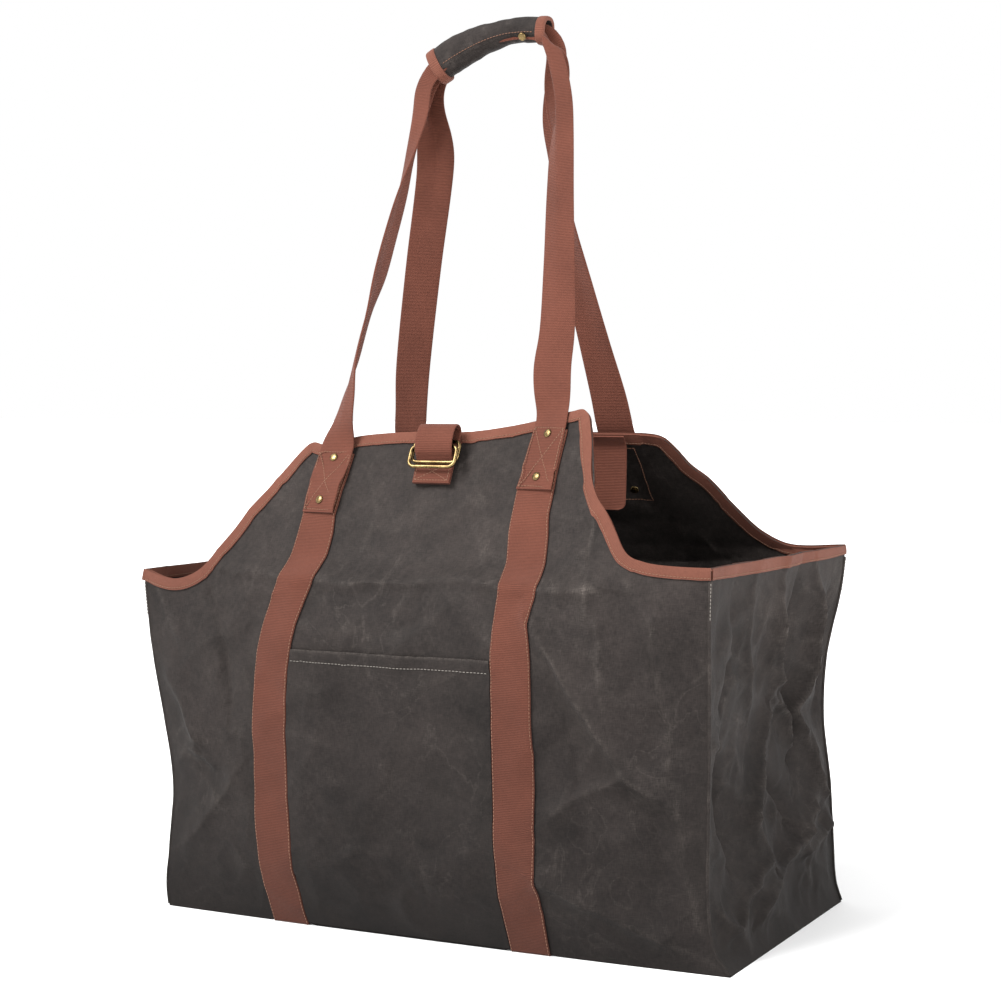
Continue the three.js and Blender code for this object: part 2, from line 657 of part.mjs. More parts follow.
// Base, inside the foot of the walls, lifted where a strap passes below it
function baseGrid() {
  const flare = (side, corner) => {
    const above = Math.abs(seamX(side, corner, 2 * CANVAS));
    return Math.abs(seamX(side, corner, 0)) - above;
  };
  const tuck = { left: BASE_INSET + Math.max(0, flare(FRONT, 'left'), flare(BACK, 'left')) };
  tuck.right = BASE_INSET + Math.max(0, flare(FRONT, 'right'), flare(BACK, 'right'));
  const rows = [];
  const feet = front.grid.map((line, i) => [line[0].point, back.grid[i][0].point]);
  feet.forEach(([near, far], i) => {
    const line = [];
    for (let cell = 0; cell <= BASE_CELLS; cell += 1) {
      const share = cell / BASE_CELLS;
      const y = lerp(near.y + BASE_INSET, far.y - BASE_INSET, share);
      const inward = (i === 0 ? tuck.left : 0) - (i === LAST_COLUMN ? tuck.right : 0);
      line.push(new THREE.Vector3(lerp(near.x, far.x, share) + inward, y, lerp(near.z, far.z, share)));
    }
    rows.push(line);
  });
  return rows;
}

const baseUnder = baseGrid();
const baseOver = baseUnder.map((line) => line.map((p) => new THREE.Vector3(p.x, p.y, p.z + CANVAS)));
addPiece('base_panel', sheet(baseUnder, baseOver), CANVAS_LOOK);

// End panels
const RIGHT = { out: 1, corner: 'right', folds: RIGHT_FOLDS };
const LEFT = { out: -1, corner: 'left', folds: LEFT_FOLDS };

function endPointAt(end, place, z, top) {
  const near = { x: seamX(FRONT, end.corner, z), y: 0 };
  const far = { x: seamX(BACK, end.corner, z), y: 0 };
  near.y = wallY(FRONT, near.x, z) + END_INSET;
  far.y = wallY(BACK, far.x, z) - END_INSET;
  const y = lerp(near.y, far.y, place);
  const height = clamp01(z / RIM_HEIGHT);
  const tuck = END_TUCK * Math.sin(Math.PI * height) * Math.sin(Math.PI * place);
  const fold = foldRise(end.folds, 'Y', y, z) * foldFade(place, z, top);
  return new THREE.Vector3(lerp(near.x, far.x, place) + end.out * (fold - tuck), y, z);
}

// The end's grid: a narrow cell at each seam keeps room for the binding.
function endGrid(end) {
  const column = end.out > 0 ? LAST_COLUMN : 0;
  const places = [0];
  for (let cell = 0; cell <= END_CELLS; cell += 1) {
    places.push(lerp(END_NARROW, 1 - END_NARROW, cell / END_CELLS));
  }
  places.push(1);
  const nearTop = front.grid[column][LAST_ROW].point.z;
  const farTop = back.grid[column][LAST_ROW].point.z;
  const grid = places.map((place) => {
    const top = lerp(nearTop, farTop, place);
    const line = [];
    for (let row = 0; row <= END_ROWS; row += 1) {
      line.push({ point: endPointAt(end, place, ((top - BINDING_DEPTH) * row) / END_ROWS, top) });
    }
    line.push({ point: endPointAt(end, place, top, top) });
    return line;
  });
  addNormals(grid, end.out);
  return grid;
}

const rightEnd = endGrid(RIGHT);
const leftEnd = endGrid(LEFT);

function endPanel(grid) {
  return sheet(
    grid.map((line) => line.map((node) => node.point)),
    grid.map((line) => line.map((node) => offset(node, -CANVAS))),
    grid,
  );
}

addPiece('right_end_panel', endPanel(rightEnd), CANVAS_LOOK);
addPiece('left_end_panel', endPanel(leftEnd), CANVAS_LOOK);

// Folded tape over an edge, lying on the last row of cells of a grid.
function binding(lines) {
  const outer = [];
  const inner = [];
  for (const line of lines) {
    const [lower, edge] = line.slice(-2);
    const up = edge.point.clone().sub(lower.point).normalize();
    const leg = (distance) => offset(lower, distance);
    const top = (distance, rise) => offset(edge, distance).addScaledVector(up, rise);
    const near = GAP;
    const far = -CANVAS - GAP;
    outer.push([
      leg(near + BINDING),
      top(near + BINDING, GAP + BINDING),
      top(far - BINDING, GAP + BINDING),
      leg(far - BINDING),
    ]);
    inner.push([leg(near), top(near, GAP), top(far, GAP), leg(far)]);
  }
  return sheet(outer, inner, lines.map((line) => {
    const [lower, edge] = line.slice(-2);
    return [lower, edge, edge, lower];
  }));
}

// A grid with its end columns moved in, to clear the wall that it meets.
function trimmed(grid, trim) {
  const last = grid.length - 1;
  const moved = (from, to) => from.map((node, j) => {
    const share = trim / node.point.distanceTo(to[j].point);
    return {
      point: node.point.clone().lerp(to[j].point, share),
      normal: node.normal.clone().lerp(to[j].normal, share).normalize(),
    };
  });
  return [moved(grid[0], grid[1]), ...grid.slice(1, -1), moved(grid[last], grid[last - 1])];
}

addPiece('front_rim_binding', binding(trimmed(front.grid, RIM_TRIM)), BINDING_LOOK);
addPiece('back_rim_binding', binding(trimmed(back.grid, RIM_TRIM)), BINDING_LOOK);
addPiece('right_rim_binding', binding(rightEnd.slice(1, -1)), BINDING_LOOK);
addPiece('left_rim_binding', binding(leftEnd.slice(1, -1)), BINDING_LOOK);

// Body straps: up the front, under the base and up the back in one length
function strapLines(corner) {
  const names = [`${corner}StrapA`, `${corner}StrapMid`, `${corner}StrapB`];
  return names.map((name) => {
    const near = front.grid[front.at(name)].slice(0, STRAP_TOP_ROW + 1);
    const far = back.grid[back.at(name)].slice(0, STRAP_TOP_ROW + 1);
    return { near, far };
  });
}

function bodyStrap(corner) {
  const outer = [];
  const inner = [];
  const guide = [];
  for (const { near, far } of strapLines(corner)) {
    const turn = CANVAS;
    const floorPoint = (from, to, z) => {
      const share = turn / Math.abs(to.y - from.y);
      return new THREE.Vector3(lerp(from.x, to.x, share), lerp(from.y, to.y, share), z);
    };
    const a = near[0].point;
    const b = far[0].point;
    const down = [...near].reverse();
    const side = (nodes, distance) => nodes.map((node) => offset(node, distance));
    const below = [floorPoint(a, b, 0), floorPoint(b, a, 0)];
    guide.push([...down, ...below.map((point) => ({ point, normal: new THREE.Vector3(0, 0, -1) })), ...far]);
    outer.push([
      ...side(down, STRAP_LAYER[1]),
      floorPoint(a, b, 0),
      floorPoint(b, a, 0),
      ...side(far, STRAP_LAYER[1]),
    ]);
    inner.push([
      ...side(down, STRAP_LAYER[0]),
      floorPoint(a, b, WEBBING),
      floorPoint(b, a, WEBBING),
      ...side(far, STRAP_LAYER[0]),
    ]);
  }
  return sheet(outer, inner, guide);
}

addPiece('left_body_strap', bodyStrap('left'), WEBBING_LOOK);
addPiece('right_body_strap', bodyStrap('right'), WEBBING_LOOK);

// Place on a panel's strap line a given distance below the edge.
function belowEdge(panel, name, drop, distance) {
  const line = panel.grid[panel.at(name)];
  const top = line[LAST_ROW].point.z;
  const z = top - drop;
  let j = LAST_ROW - 1;
  while (line[j].point.z > z) j -= 1;
  const share = (z - line[j].point.z) / (line[j + 1].point.z - line[j].point.z);
  return new THREE.Vector3().lerpVectors(offset(line[j], distance), offset(line[j + 1], distance), share);
}

// Rows of a strap line from a drop below the edge up to the edge. The first
// whole row is the same for the three lines of a strap.
function lapPoints(panel, name, drop, distance, lastRow) {
  const line = panel.grid[panel.at(name)];
  const middle = panel.grid[panel.at(`${name.startsWith('left') ? 'left' : 'right'}StrapMid`)];
  const start = middle[LAST_ROW].point.z - drop + LAP_MARGIN;
  const points = [belowEdge(panel, name, drop, distance)];
  for (let j = 0; j <= lastRow; j += 1) {
    if (middle[j].point.z > start) points.push(offset(line[j], distance));
  }
  return points;
}

// Webbing patches inside the panels, behind three of the handle ends
function lining(panel, corner) {
  const names = [`${corner}StrapA`, `${corner}StrapMid`, `${corner}StrapB`];
  const drop = STRAP_STOP + LINING_LAP;
  return sheet(
    names.map((name) => lapPoints(panel, name, drop, LINING_LAYER[1], STRAP_TOP_ROW)),
    names.map((name) => lapPoints(panel, name, drop, LINING_LAYER[0], STRAP_TOP_ROW)),
  );
}

addPiece('front_left_lining_patch', lining(front, 'left'), WEBBING_LOOK);
addPiece('front_right_lining_patch', lining(front, 'right'), WEBBING_LOOK);
addPiece('back_left_lining_patch', lining(back, 'left'), WEBBING_LOOK);

// The back right patch is loose: it lies over the binding and hangs straight
// down from there, away from the leaning panel. Its path runs in y and z.
function flap(panel, corner) {
  const half = WEBBING / 2;
  const middle = (FLAP_LAYER[0] + FLAP_LAYER[1]) / 2;
  const face = (sign) => [`${corner}StrapA`, `${corner}StrapMid`, `${corner}StrapB`].map((name) => {
    const [lower, edge] = panel.grid[panel.at(name)].slice(-2);
    const bend = offset(lower, middle);
    const end = bend.clone().add(new THREE.Vector3(0, 0, -LINING_LAP));
    const level = new THREE.Vector3(0, panel.side.out, 0);
    const mitre = lower.normal.clone().add(level).normalize();
    mitre.multiplyScalar(1 / mitre.dot(level));
    return [
      end.addScaledVector(level, sign * half),
      bend.clone().addScaledVector(mitre, sign * half),
      offset(edge, middle + sign * half),
    ];
  });
  return sheet(face(1), face(-1));
}

addPiece('back_right_lining_patch', flap(back, 'right'), WEBBING_LOOK);

// Handles: sewn over the body strap, free up to the grip, doubled lengthwise
// inside it and down again on the other side
const GRIP_Y = -HALF_DEPTH + GRIP_SETBACK;

function gripPoint(along) {
  return new THREE.Vector3(
    (along - GRIP_MIDDLE) * GRIP_LENGTH,
    GRIP_Y,
    GRIP_HEIGHT - follow(GRIP_LINE, 'along', 'drop', along) * GRIP_DROP,
  );
}

// Three points across the webbing at a station: its edge, middle and other
// edge, for a face pushed out by a distance.
function webbingAcross(centre, wide, out, fold, distance) {
  const angle = (fold * Math.PI) / 2;
  const mix = (ways, outs) => new THREE.Vector3().addScaledVector(wide, ways).addScaledVector(out, outs);
  const leg = (sign) => mix(sign * Math.cos(angle), -Math.sin(angle));
  const face = (sign) => mix(sign * Math.sin(angle), Math.cos(angle));
  const middle = centre.clone().addScaledVector(out, (Math.sin(angle) * HALF_WEB) / 2);
  const edge = (sign) => middle
    .clone()
    .addScaledVector(leg(sign), HALF_WEB)
    .addScaledVector(face(sign), distance);
  const mitre = distance / Math.max(MITRE_LIMIT, Math.cos(angle));
  return [edge(-1), middle.clone().addScaledVector(out, mitre), edge(1)];
}

// Stations of one free run from its panel's edge up to the grip's end.
function freeRun(run, from, to, facing) {
  const stations = [];
  for (let cell = 1; cell <= FREE_CELLS; cell += 1) {
    const rise = cell / FREE_CELLS;
    const centre = new THREE.Vector3().lerpVectors(from, to, rise);
    centre.x += follow(run, 'rise', 'bow', rise) * STRAP_SPACING;
    const turn = THREE.MathUtils.degToRad(follow(run, 'rise', 'turn', rise));
    const wide = new THREE.Vector3(Math.cos(turn), Math.sin(turn), 0);
    const out = new THREE.Vector3(facing * Math.sin(turn), -facing * Math.cos(turn), 0);
    stations.push({ centre, wide, out, fold: follow(run, 'rise', 'fold', rise) });
  }
  return stations;
}

function handle(panel, leftRun, rightRun, y, facing) {
  const edgeCentre = (corner) => {
    const line = panel.grid[panel.at(`${corner}StrapMid`)];
    return offset(line[LAST_ROW], (HANDLE_LAYER[0] + HANDLE_LAYER[1]) / 2);
  };
  const shift = new THREE.Vector3(0, y, 0);
  const leftEnd = gripPoint(0).add(shift);
  const rightEnd = gripPoint(1).add(shift);
  const tail = GRIP_TALL * TAIL.drop;
  const leftFoot = leftEnd.clone().add(new THREE.Vector3(-GRIP_TALL * TAIL.left, y, -tail));
  const rightFoot = rightEnd.clone().add(new THREE.Vector3(GRIP_TALL * TAIL.right, y, -tail));
  const up = freeRun(leftRun, edgeCentre('left'), leftFoot, facing);
  const down = freeRun(rightRun, edgeCentre('right'), rightFoot, facing).reverse();
  const inside = [];
  const side = new THREE.Vector3(0, -facing, 0);
  for (let cell = 0; cell <= GRIP_CELLS; cell += 1) {
    const { centre, up: out } = gripFrame(cell / GRIP_CELLS);
    inside.push({ centre: centre.add(shift), wide: side, out, fold: GRIP_FOLD });
  }
  const mirrored = down.map((s) => ({ ...s, wide: s.wide.clone().negate() }));
  const stations = [...up, ...inside, ...mirrored];
  const faces = [-WEBBING / 2, WEBBING / 2].map((distance) => {
    const lines = [[], [], []];
    const sewn = distance < 0 ? HANDLE_LAYER[0] : HANDLE_LAYER[1];
    const leftNames = ['leftStrapA', 'leftStrapMid', 'leftStrapB'];
    const rightNames = ['rightStrapB', 'rightStrapMid', 'rightStrapA'];
    leftNames.forEach((name, k) => {
      lines[k].push(...lapPoints(panel, name, STRAP_STOP + HANDLE_LAP, sewn, LAST_ROW));
    });
    for (const s of stations) {
      webbingAcross(s.centre, s.wide, s.out, s.fold, distance).forEach((p, k) => lines[k].push(p));
    }
    rightNames.forEach((name, k) => {
      lines[k].push(...lapPoints(panel, name, STRAP_STOP + HANDLE_LAP, sewn, LAST_ROW).reverse());
    });
    return lines;
  });
  return sheet(faces[1], faces[0]);
}

addPiece('front_handle', handle(front, FRONT_LEFT_RUN, FRONT_RIGHT_RUN, -HANDLE_SPLIT, 1), WEBBING_LOOK);
addPiece('back_handle', handle(back, BACK_LEFT_RUN, BACK_RIGHT_RUN, HANDLE_SPLIT, -1), WEBBING_LOOK);

// Canvas wrap round both handles, bound at its ends, with a press stud
function gripFrame(along) {
  const ahead = gripPoint(Math.min(1, along + GRIP_STEP));
  ahead.sub(gripPoint(Math.max(0, along - GRIP_STEP))).normalize();
  const up = new THREE.Vector3(0, 1, 0).cross(ahead).normalize();
  return { centre: gripPoint(along), up };
}

function gripSurface(along, angle, grow) {
  const { centre, up } = gripFrame(along);
  const round = (value) => Math.sign(value) * Math.abs(value) ** GRIP_ROUND;
  const height = follow(GRIP_LINE, 'along', 'tall', along) * GRIP_TALL;
  const tall = (height / 2 + grow) * round(Math.cos(angle));
  const deep = (GRIP_DEEP / 2 + grow) * round(Math.sin(angle));
  return centre.addScaledVector(up, tall).add(new THREE.Vector3(0, -deep, 0));
}

function gripTube(from, to, cells, outside, inside) {
  const rings = [];
  for (let k = 0; k < GRIP_SIDES; k += 1) {
    const angle = (2 * Math.PI * k) / GRIP_SIDES;
    const outer = [];
    const inner = [];
    for (let cell = 0; cell <= cells; cell += 1) {
      const along = lerp(from, to, cell / cells);
      outer.push(gripSurface(along, angle, outside));
      inner.unshift(gripSurface(along, angle, inside));
    }
    rings.push([...outer, ...inner]);
  }
  return doughnut(rings);
}

const BAND_SHARE = GRIP_BINDING / GRIP_LENGTH;
addPiece('grip_wrap', gripTube(0, 1, GRIP_CELLS, 0, -CANVAS), CANVAS_LOOK);
addPiece('grip_left_binding', gripTube(0, BAND_SHARE, 1, GAP + BINDING, GAP), BINDING_LOOK);
addPiece('grip_right_binding', gripTube(1 - BAND_SHARE, 1, 1, GAP + BINDING, GAP), BINDING_LOOK);

// Round stud or rivet with its flat back at the origin, turned to face a way
function dome(radius, rise) {
  const profile = DOME_LINE.map((row) => new THREE.Vector2(row.radius * radius, row.rise * rise));
  return new THREE.LatheGeometry(profile, LATHE_SIDES);
}

function addDome(name, radius, rise, place, facing) {
  const mesh = addPiece(name, dome(radius, rise), BRASS_LOOK);
  mesh.position.copy(place);
  mesh.quaternion.setFromUnitVectors(new THREE.Vector3(0, 1, 0), facing);
}

function gripFacing(along, angle) {
  const before = gripSurface(along, angle - GRIP_TURN, 0);
  const after = gripSurface(along, angle + GRIP_TURN, 0);
  const ahead = gripSurface(along + GRIP_STEP, angle, 0).sub(gripSurface(along - GRIP_STEP, angle, 0));
  const out = ahead.cross(after.sub(before)).normalize();
  const away = gripSurface(along, angle, 1).sub(gripSurface(along, angle, 0));
  return out.dot(away) < 0 ? out.negate() : out;
}

const SNAP_PLACE = { along: 0.82, angle: Math.PI * 0.66 };
const snapFacing = gripFacing(SNAP_PLACE.along, SNAP_PLACE.angle);
addDome(
  'grip_snap',
  SNAP_RADIUS,
  RIVET_RISE,
  gripSurface(SNAP_PLACE.along, SNAP_PLACE.angle, 0).addScaledVector(snapFacing, SNAP_CLEAR),
  snapFacing,
);

// Rivets through the handle ends, each with a flat washer inside the bag, on
// the lining patch or, behind the loose one, on the canvas
for (const [panelName, panel] of [['front', front], ['back', back]]) {
  for (const corner of ['left', 'right']) {
    RIVET_DROPS.forEach((drop, k) => {
      const name = `${corner}StrapMid`;
      const outside = belowEdge(panel, name, drop, HANDLE_LAYER[1] + RIVET_CLEAR);
      const loose = panel === back && corner === 'right';
      const inside = belowEdge(panel, name, drop, (loose ? -CANVAS : LINING_LAYER[0]) - RIVET_CLEAR);
      const facing = outside.clone().sub(inside).normalize();
      const label = `${panelName}_${corner}_${k === 0 ? 'upper' : 'lower'}`;
      addDome(`${label}_rivet`, RIVET_RADIUS, RIVET_RISE, outside, facing);
      addDome(`${label}_rivet_back`, RIVET_RADIUS, RIVET_RISE / 2, inside, facing.clone().negate());
    });
  }
}

// Webbing loop at the middle of the front edge. It is laid out in the plane of
// rise along the panel from its edge and distance out from the canvas.
const TAB_BACK = 2 * GAP + BINDING + WEBBING / 2 + GAP;
const TAB_FRONT = TAB_BACK + WEBBING + GAP;

function tabFrame() {
  const x = TAB_SHIFT;
  const top = topHeight(FRONT, x);
  const edge = new THREE.Vector3(x, wallY(FRONT, x, top), top);
  const low = top - TAB_LOOP - TAB_PATCH;
  const up = edge.clone().sub(new THREE.Vector3(x, wallY(FRONT, x, low), low)).normalize();
  const out = new THREE.Vector3(1, 0, 0).cross(up).normalize();
  return { edge, up, out };
}

const TAB = tabFrame();

function tabPoint(across, rise, distance) {
  return TAB.edge
    .clone()
    .addScaledVector(TAB.up, rise)
    .addScaledVector(TAB.out, distance)
    .add(new THREE.Vector3(across, 0, 0));
}

function tabPath() {
  return TAB_LINE.map((row) => {
    const distance = row.lies ? TAB_FRONT : TAB_BACK + TAB_STAND * row.stand;
    return new THREE.Vector2(TAB_LOOP * row.loop + TAB_PATCH * row.patch, distance);
  });
}

function tab() {
  const path = tabPath();
  const last = path.length - 1;
  const side = (sign) => [-HALF_WEB, HALF_WEB].map((across) => path.map((p, i) => {
    const ahead = path[Math.min(i + 1, last)].clone().sub(path[Math.max(i - 1, 0)]).normalize();
    const x = p.x - sign * ahead.y * (WEBBING / 2);
    const y = p.y + sign * ahead.x * (WEBBING / 2);
    return tabPoint(across, x, y);
  }));
  return sheet(side(1), side(-1));
}

addPiece('ring_tab', tab(), WEBBING_LOOK);

// Rectangular wire rings held by the loop: each has its upper bar inside the
// loop and its lower bar in front of the sewn patch
function ringPath() {
  const wide = RING_WIDTH / 2 - RING_WIRE / 2;
  const tall = RING_HEIGHT / 2 - RING_WIRE / 2;
  const points = [];
  for (const [sx, sy, start] of [[1, 1, 0], [-1, 1, 1], [-1, -1, 2], [1, -1, 3]]) {
    for (let cell = 0; cell <= CORNER_CELLS; cell += 1) {
      const angle = ((start + cell / CORNER_CELLS) * Math.PI) / 2;
      points.push({
        x: sx * (wide - RING_CORNER) + RING_CORNER * Math.cos(angle),
        y: sy * (tall - RING_CORNER) + RING_CORNER * Math.sin(angle),
        out: new THREE.Vector2(Math.cos(angle), Math.sin(angle)),
      });
    }
  }
  return points;
}

function ring(lowRise, lowDistance, highDistance) {
  const bars = RING_HEIGHT - RING_WIRE;
  const tilt = Math.asin((lowDistance - highDistance) / bars);
  const rise = Math.cos(tilt);
  const lean = -Math.sin(tilt);
  return doughnut(ringPath().map((p) => {
    const section = [];
    for (let k = 0; k < RING_SIDES; k += 1) {
      const angle = (2 * Math.PI * k) / RING_SIDES;
      const flat = (RING_WIRE / 2) * Math.cos(angle);
      const thick = (RING_WIRE / 2) * Math.sin(angle);
      const x = p.x + p.out.x * flat;
      const y = p.y + p.out.y * flat + bars / 2;
      section.push(tabPoint(x, lowRise + y * rise - thick * lean, lowDistance + y * lean + thick * rise));
    }
    return section;
  }));
}

const RING_FRONT = TAB_FRONT + WEBBING / 2 + GAP + RING_WIRE / 2;
const RING_NEST = RING_FRONT + RING_WIRE + GAP;
const RING_LOW = -TAB_LOOP - RING_REST * RING_WIRE;
addPiece('inner_ring', ring(RING_LOW, RING_FRONT, RING_FRONT), BRASS_LOOK);
addPiece('outer_ring', ring(RING_LOW - RING_STEP, RING_NEST, RING_NEST), BRASS_LOOK);

export default carrier;
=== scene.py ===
"""Canvas log carrier: the looks of its waxed canvas, webbing and brass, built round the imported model.

Shapes are worked out in millimetres and put into the meshes in metres. +Z is up and the front faces -Y.
"""

import math

import bpy
import numpy as np
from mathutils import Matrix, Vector


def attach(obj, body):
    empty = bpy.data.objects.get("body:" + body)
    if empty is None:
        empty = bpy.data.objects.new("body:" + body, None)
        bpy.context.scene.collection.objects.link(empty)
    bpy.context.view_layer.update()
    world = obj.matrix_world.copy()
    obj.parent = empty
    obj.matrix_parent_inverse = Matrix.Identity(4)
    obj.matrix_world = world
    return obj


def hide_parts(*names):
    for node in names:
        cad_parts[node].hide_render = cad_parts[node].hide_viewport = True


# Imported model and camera. The model is the fixed frame that every piece below rides on,
# and the camera stands where the photograph's viewing angle puts it.
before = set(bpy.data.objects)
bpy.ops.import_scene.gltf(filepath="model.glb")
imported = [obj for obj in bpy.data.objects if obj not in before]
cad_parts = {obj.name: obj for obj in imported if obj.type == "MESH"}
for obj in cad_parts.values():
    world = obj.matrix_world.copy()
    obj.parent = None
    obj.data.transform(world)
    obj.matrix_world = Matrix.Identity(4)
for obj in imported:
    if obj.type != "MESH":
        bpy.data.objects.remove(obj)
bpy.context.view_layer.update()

CAMERA_PLACE = (0.9386, -1.8304, 0.483)
CAMERA_TURN = 27.0
CAMERA_DIP = 2.68
CAMERA_LENS = 77.3

lens = bpy.data.cameras.new("camera")
lens.sensor_width = 36
lens.lens = CAMERA_LENS
camera = bpy.data.objects.new("camera", lens)
camera.location = CAMERA_PLACE
camera.rotation_euler = (math.radians(90 - CAMERA_DIP), 0, math.radians(CAMERA_TURN))
bpy.context.scene.collection.objects.link(camera)
bpy.context.scene.camera = camera


# Waxed canvas. A tight cotton cloth soaked in wax: dark and slightly greasy, paler where folds
# have worn or bent the wax, with a bloom of cloudy patches and the fine grain of its threads.
CANVAS_DARK = (0.0138, 0.0112, 0.0102, 1)
CANVAS_MID = (0.033, 0.0267, 0.0243, 1)
CANVAS_PALE = (0.125, 0.106, 0.094, 1)
# Painted shade: the canvas colour is darkened towards the floor, to FLOOR_SHADE of itself at the floor and full at
# SHADE_HEIGHT metres up.
FLOOR_SHADE = 0.4
SHADE_HEIGHT = 0.36
THREAD_PITCH = 0.9
MM = 0.001


def shader(name, roughness, metallic=0.0):
    """New material with only a Principled BSDF, as (material, tree, bsdf)."""
    material = bpy.data.materials.new(name)
    material.use_nodes = True
    tree = material.node_tree
    bsdf = tree.nodes["Principled BSDF"]
    bsdf.inputs["Roughness"].default_value = roughness
    bsdf.inputs["Metallic"].default_value = metallic
    return material, tree, bsdf


def add(tree, kind, *links, **settings):
    """Node of a kind: settings are its properties, or its inputs where the name is one, and links feed its inputs in order."""
    node = tree.nodes.new(kind)
    for name, value in settings.items():
        label = name.replace("_", " ").title()
        if hasattr(node, name):
            setattr(node, name, value)
        else:
            node.inputs[label].default_value = value
    for place, link in enumerate(links):
        if link is None:
            continue
        if isinstance(link, (int, float)):
            node.inputs[place].default_value = link
        else:
            tree.links.new(link, node.inputs[place])
    return node


def math_node(tree, operation, a, b=None, clamp=False):
    """Output of a Math node on two values or sockets."""
    return add(tree, "ShaderNodeMath", a, b, operation=operation, use_clamp=clamp).outputs[0]


def blend_colours(tree, share, first, second):
    """Output of a colour mix: first at share 0, second at share 1. Colours are sockets or tuples."""
    node = add(tree, "ShaderNodeMix", data_type="RGBA")
    tree.links.new(share, node.inputs[0])
    for place, colour in ((6, first), (7, second)):
        if isinstance(colour, tuple):
            node.inputs[place].default_value = colour
        else:
            tree.links.new(colour, node.inputs[place])
    return node.outputs[2]


def effect(name, inputs, outputs):
    """Empty shader node group with float or vector inputs and float outputs, as (group, tree in, tree out)."""
    group = bpy.data.node_groups.new(name, "ShaderNodeTree")
    for label, kind, value in inputs:
        socket = group.interface.new_socket(label, in_out="INPUT", socket_type=kind)
        if value is not None:
            socket.default_value = value
    for label in outputs:
        group.interface.new_socket(label, in_out="OUTPUT", socket_type="NodeSocketFloat")
    return group, group.nodes.new("NodeGroupInput"), group.nodes.new("NodeGroupOutput")


def weave_effect():
    """Crossing threads. Height is 0.35 sin(2 pi u / pitch) sin(2 pi v / pitch) plus noise stretched along each thread;
    Grain is that noise alone, for the colour of single threads."""
    group, given, put = effect(
        "weave",
        [("Vector", "NodeSocketVector", None), ("Across", "NodeSocketFloat", 1.0), ("Along", "NodeSocketFloat", 1.0)],
        ["Height", "Grain"],
    )
    split = add(group, "ShaderNodeSeparateXYZ", given.outputs["Vector"])
    waves = []
    for axis, pitch in ((0, "Across"), (1, "Along")):
        turns = math_node(group, "DIVIDE", split.outputs[axis], given.outputs[pitch])
        waves.append(math_node(group, "SINE", math_node(group, "MULTIPLY", turns, 2 * math.pi)))
    checks = math_node(group, "MULTIPLY", waves[0], waves[1])
    grains = []
    for stretch in ((180.0, 1300.0, 1.0), (1300.0, 180.0, 1.0)):
        scaled = add(group, "ShaderNodeVectorMath", given.outputs["Vector"], operation="MULTIPLY")
        scaled.inputs[1].default_value = stretch
        noise = add(group, "ShaderNodeTexNoise", scaled.outputs[0], scale=1.0, detail=2.0)
        grains.append(noise.outputs["Fac"])
    grain = math_node(group, "MULTIPLY", math_node(group, "ADD", grains[0], grains[1]), 0.5)
    height = math_node(group, "ADD", math_node(group, "MULTIPLY", checks, 0.35), grain)
    group.links.new(height, put.inputs["Height"])
    group.links.new(grain, put.inputs["Grain"])
    return group


def bloom_effect():
    """Wax bloom and handling marks on Object coordinates. Cloud is soft noise at three sizes; Scuff is thin broken lines
    where a warped noise passes its middle value, kept only inside patches of a larger noise."""
    group, given, put = effect(
        "bloom", [("Vector", "NodeSocketVector", None), ("Size", "NodeSocketFloat", 1.0)], ["Cloud", "Scuff"]
    )
    scaled = add(group, "ShaderNodeVectorMath", given.outputs["Vector"], operation="SCALE")
    group.links.new(given.outputs["Size"], scaled.inputs["Scale"])
    place = scaled.outputs[0]
    wide = add(group, "ShaderNodeTexNoise", place, scale=9.0, detail=4.0, roughness=0.6)
    fine = add(group, "ShaderNodeTexNoise", place, scale=45.0, detail=5.0, roughness=0.65)
    speck = add(group, "ShaderNodeTexNoise", place, scale=190.0, detail=4.0, roughness=0.7)
    soft = math_node(group, "ADD", math_node(group, "MULTIPLY", wide.outputs["Fac"], 0.4),
                     math_node(group, "MULTIPLY", fine.outputs["Fac"], 0.3))
    cloud = math_node(group, "ADD", soft, math_node(group, "MULTIPLY", speck.outputs["Fac"], 0.3))
    lines = add(group, "ShaderNodeTexNoise", place, scale=17.0, detail=3.0, distortion=1.2)
    away = math_node(group, "ABSOLUTE", math_node(group, "SUBTRACT", lines.outputs["Fac"], 0.5))
    thin = math_node(group, "SUBTRACT", 1.0, math_node(group, "MULTIPLY", away, 60.0), clamp=True)
    patch = add(group, "ShaderNodeTexNoise", place, scale=7.0, detail=1.0)
    kept = math_node(group, "MULTIPLY", math_node(group, "SUBTRACT", patch.outputs["Fac"], 0.52), 6.0, clamp=True)
    group.links.new(cloud, put.inputs["Cloud"])
    group.links.new(math_node(group, "MULTIPLY", thin, kept), put.inputs["Scuff"])
    return group


WEAVE = weave_effect()
BLOOM = bloom_effect()


def use_effect(tree, group, vector, **values):
    """Group node fed with a vector, its other inputs set by name."""
    node = tree.nodes.new("ShaderNodeGroup")
    node.node_tree = group
    tree.links.new(vector, node.inputs["Vector"])
    for label, value in values.items():
        node.inputs[label].default_value = value
    return node


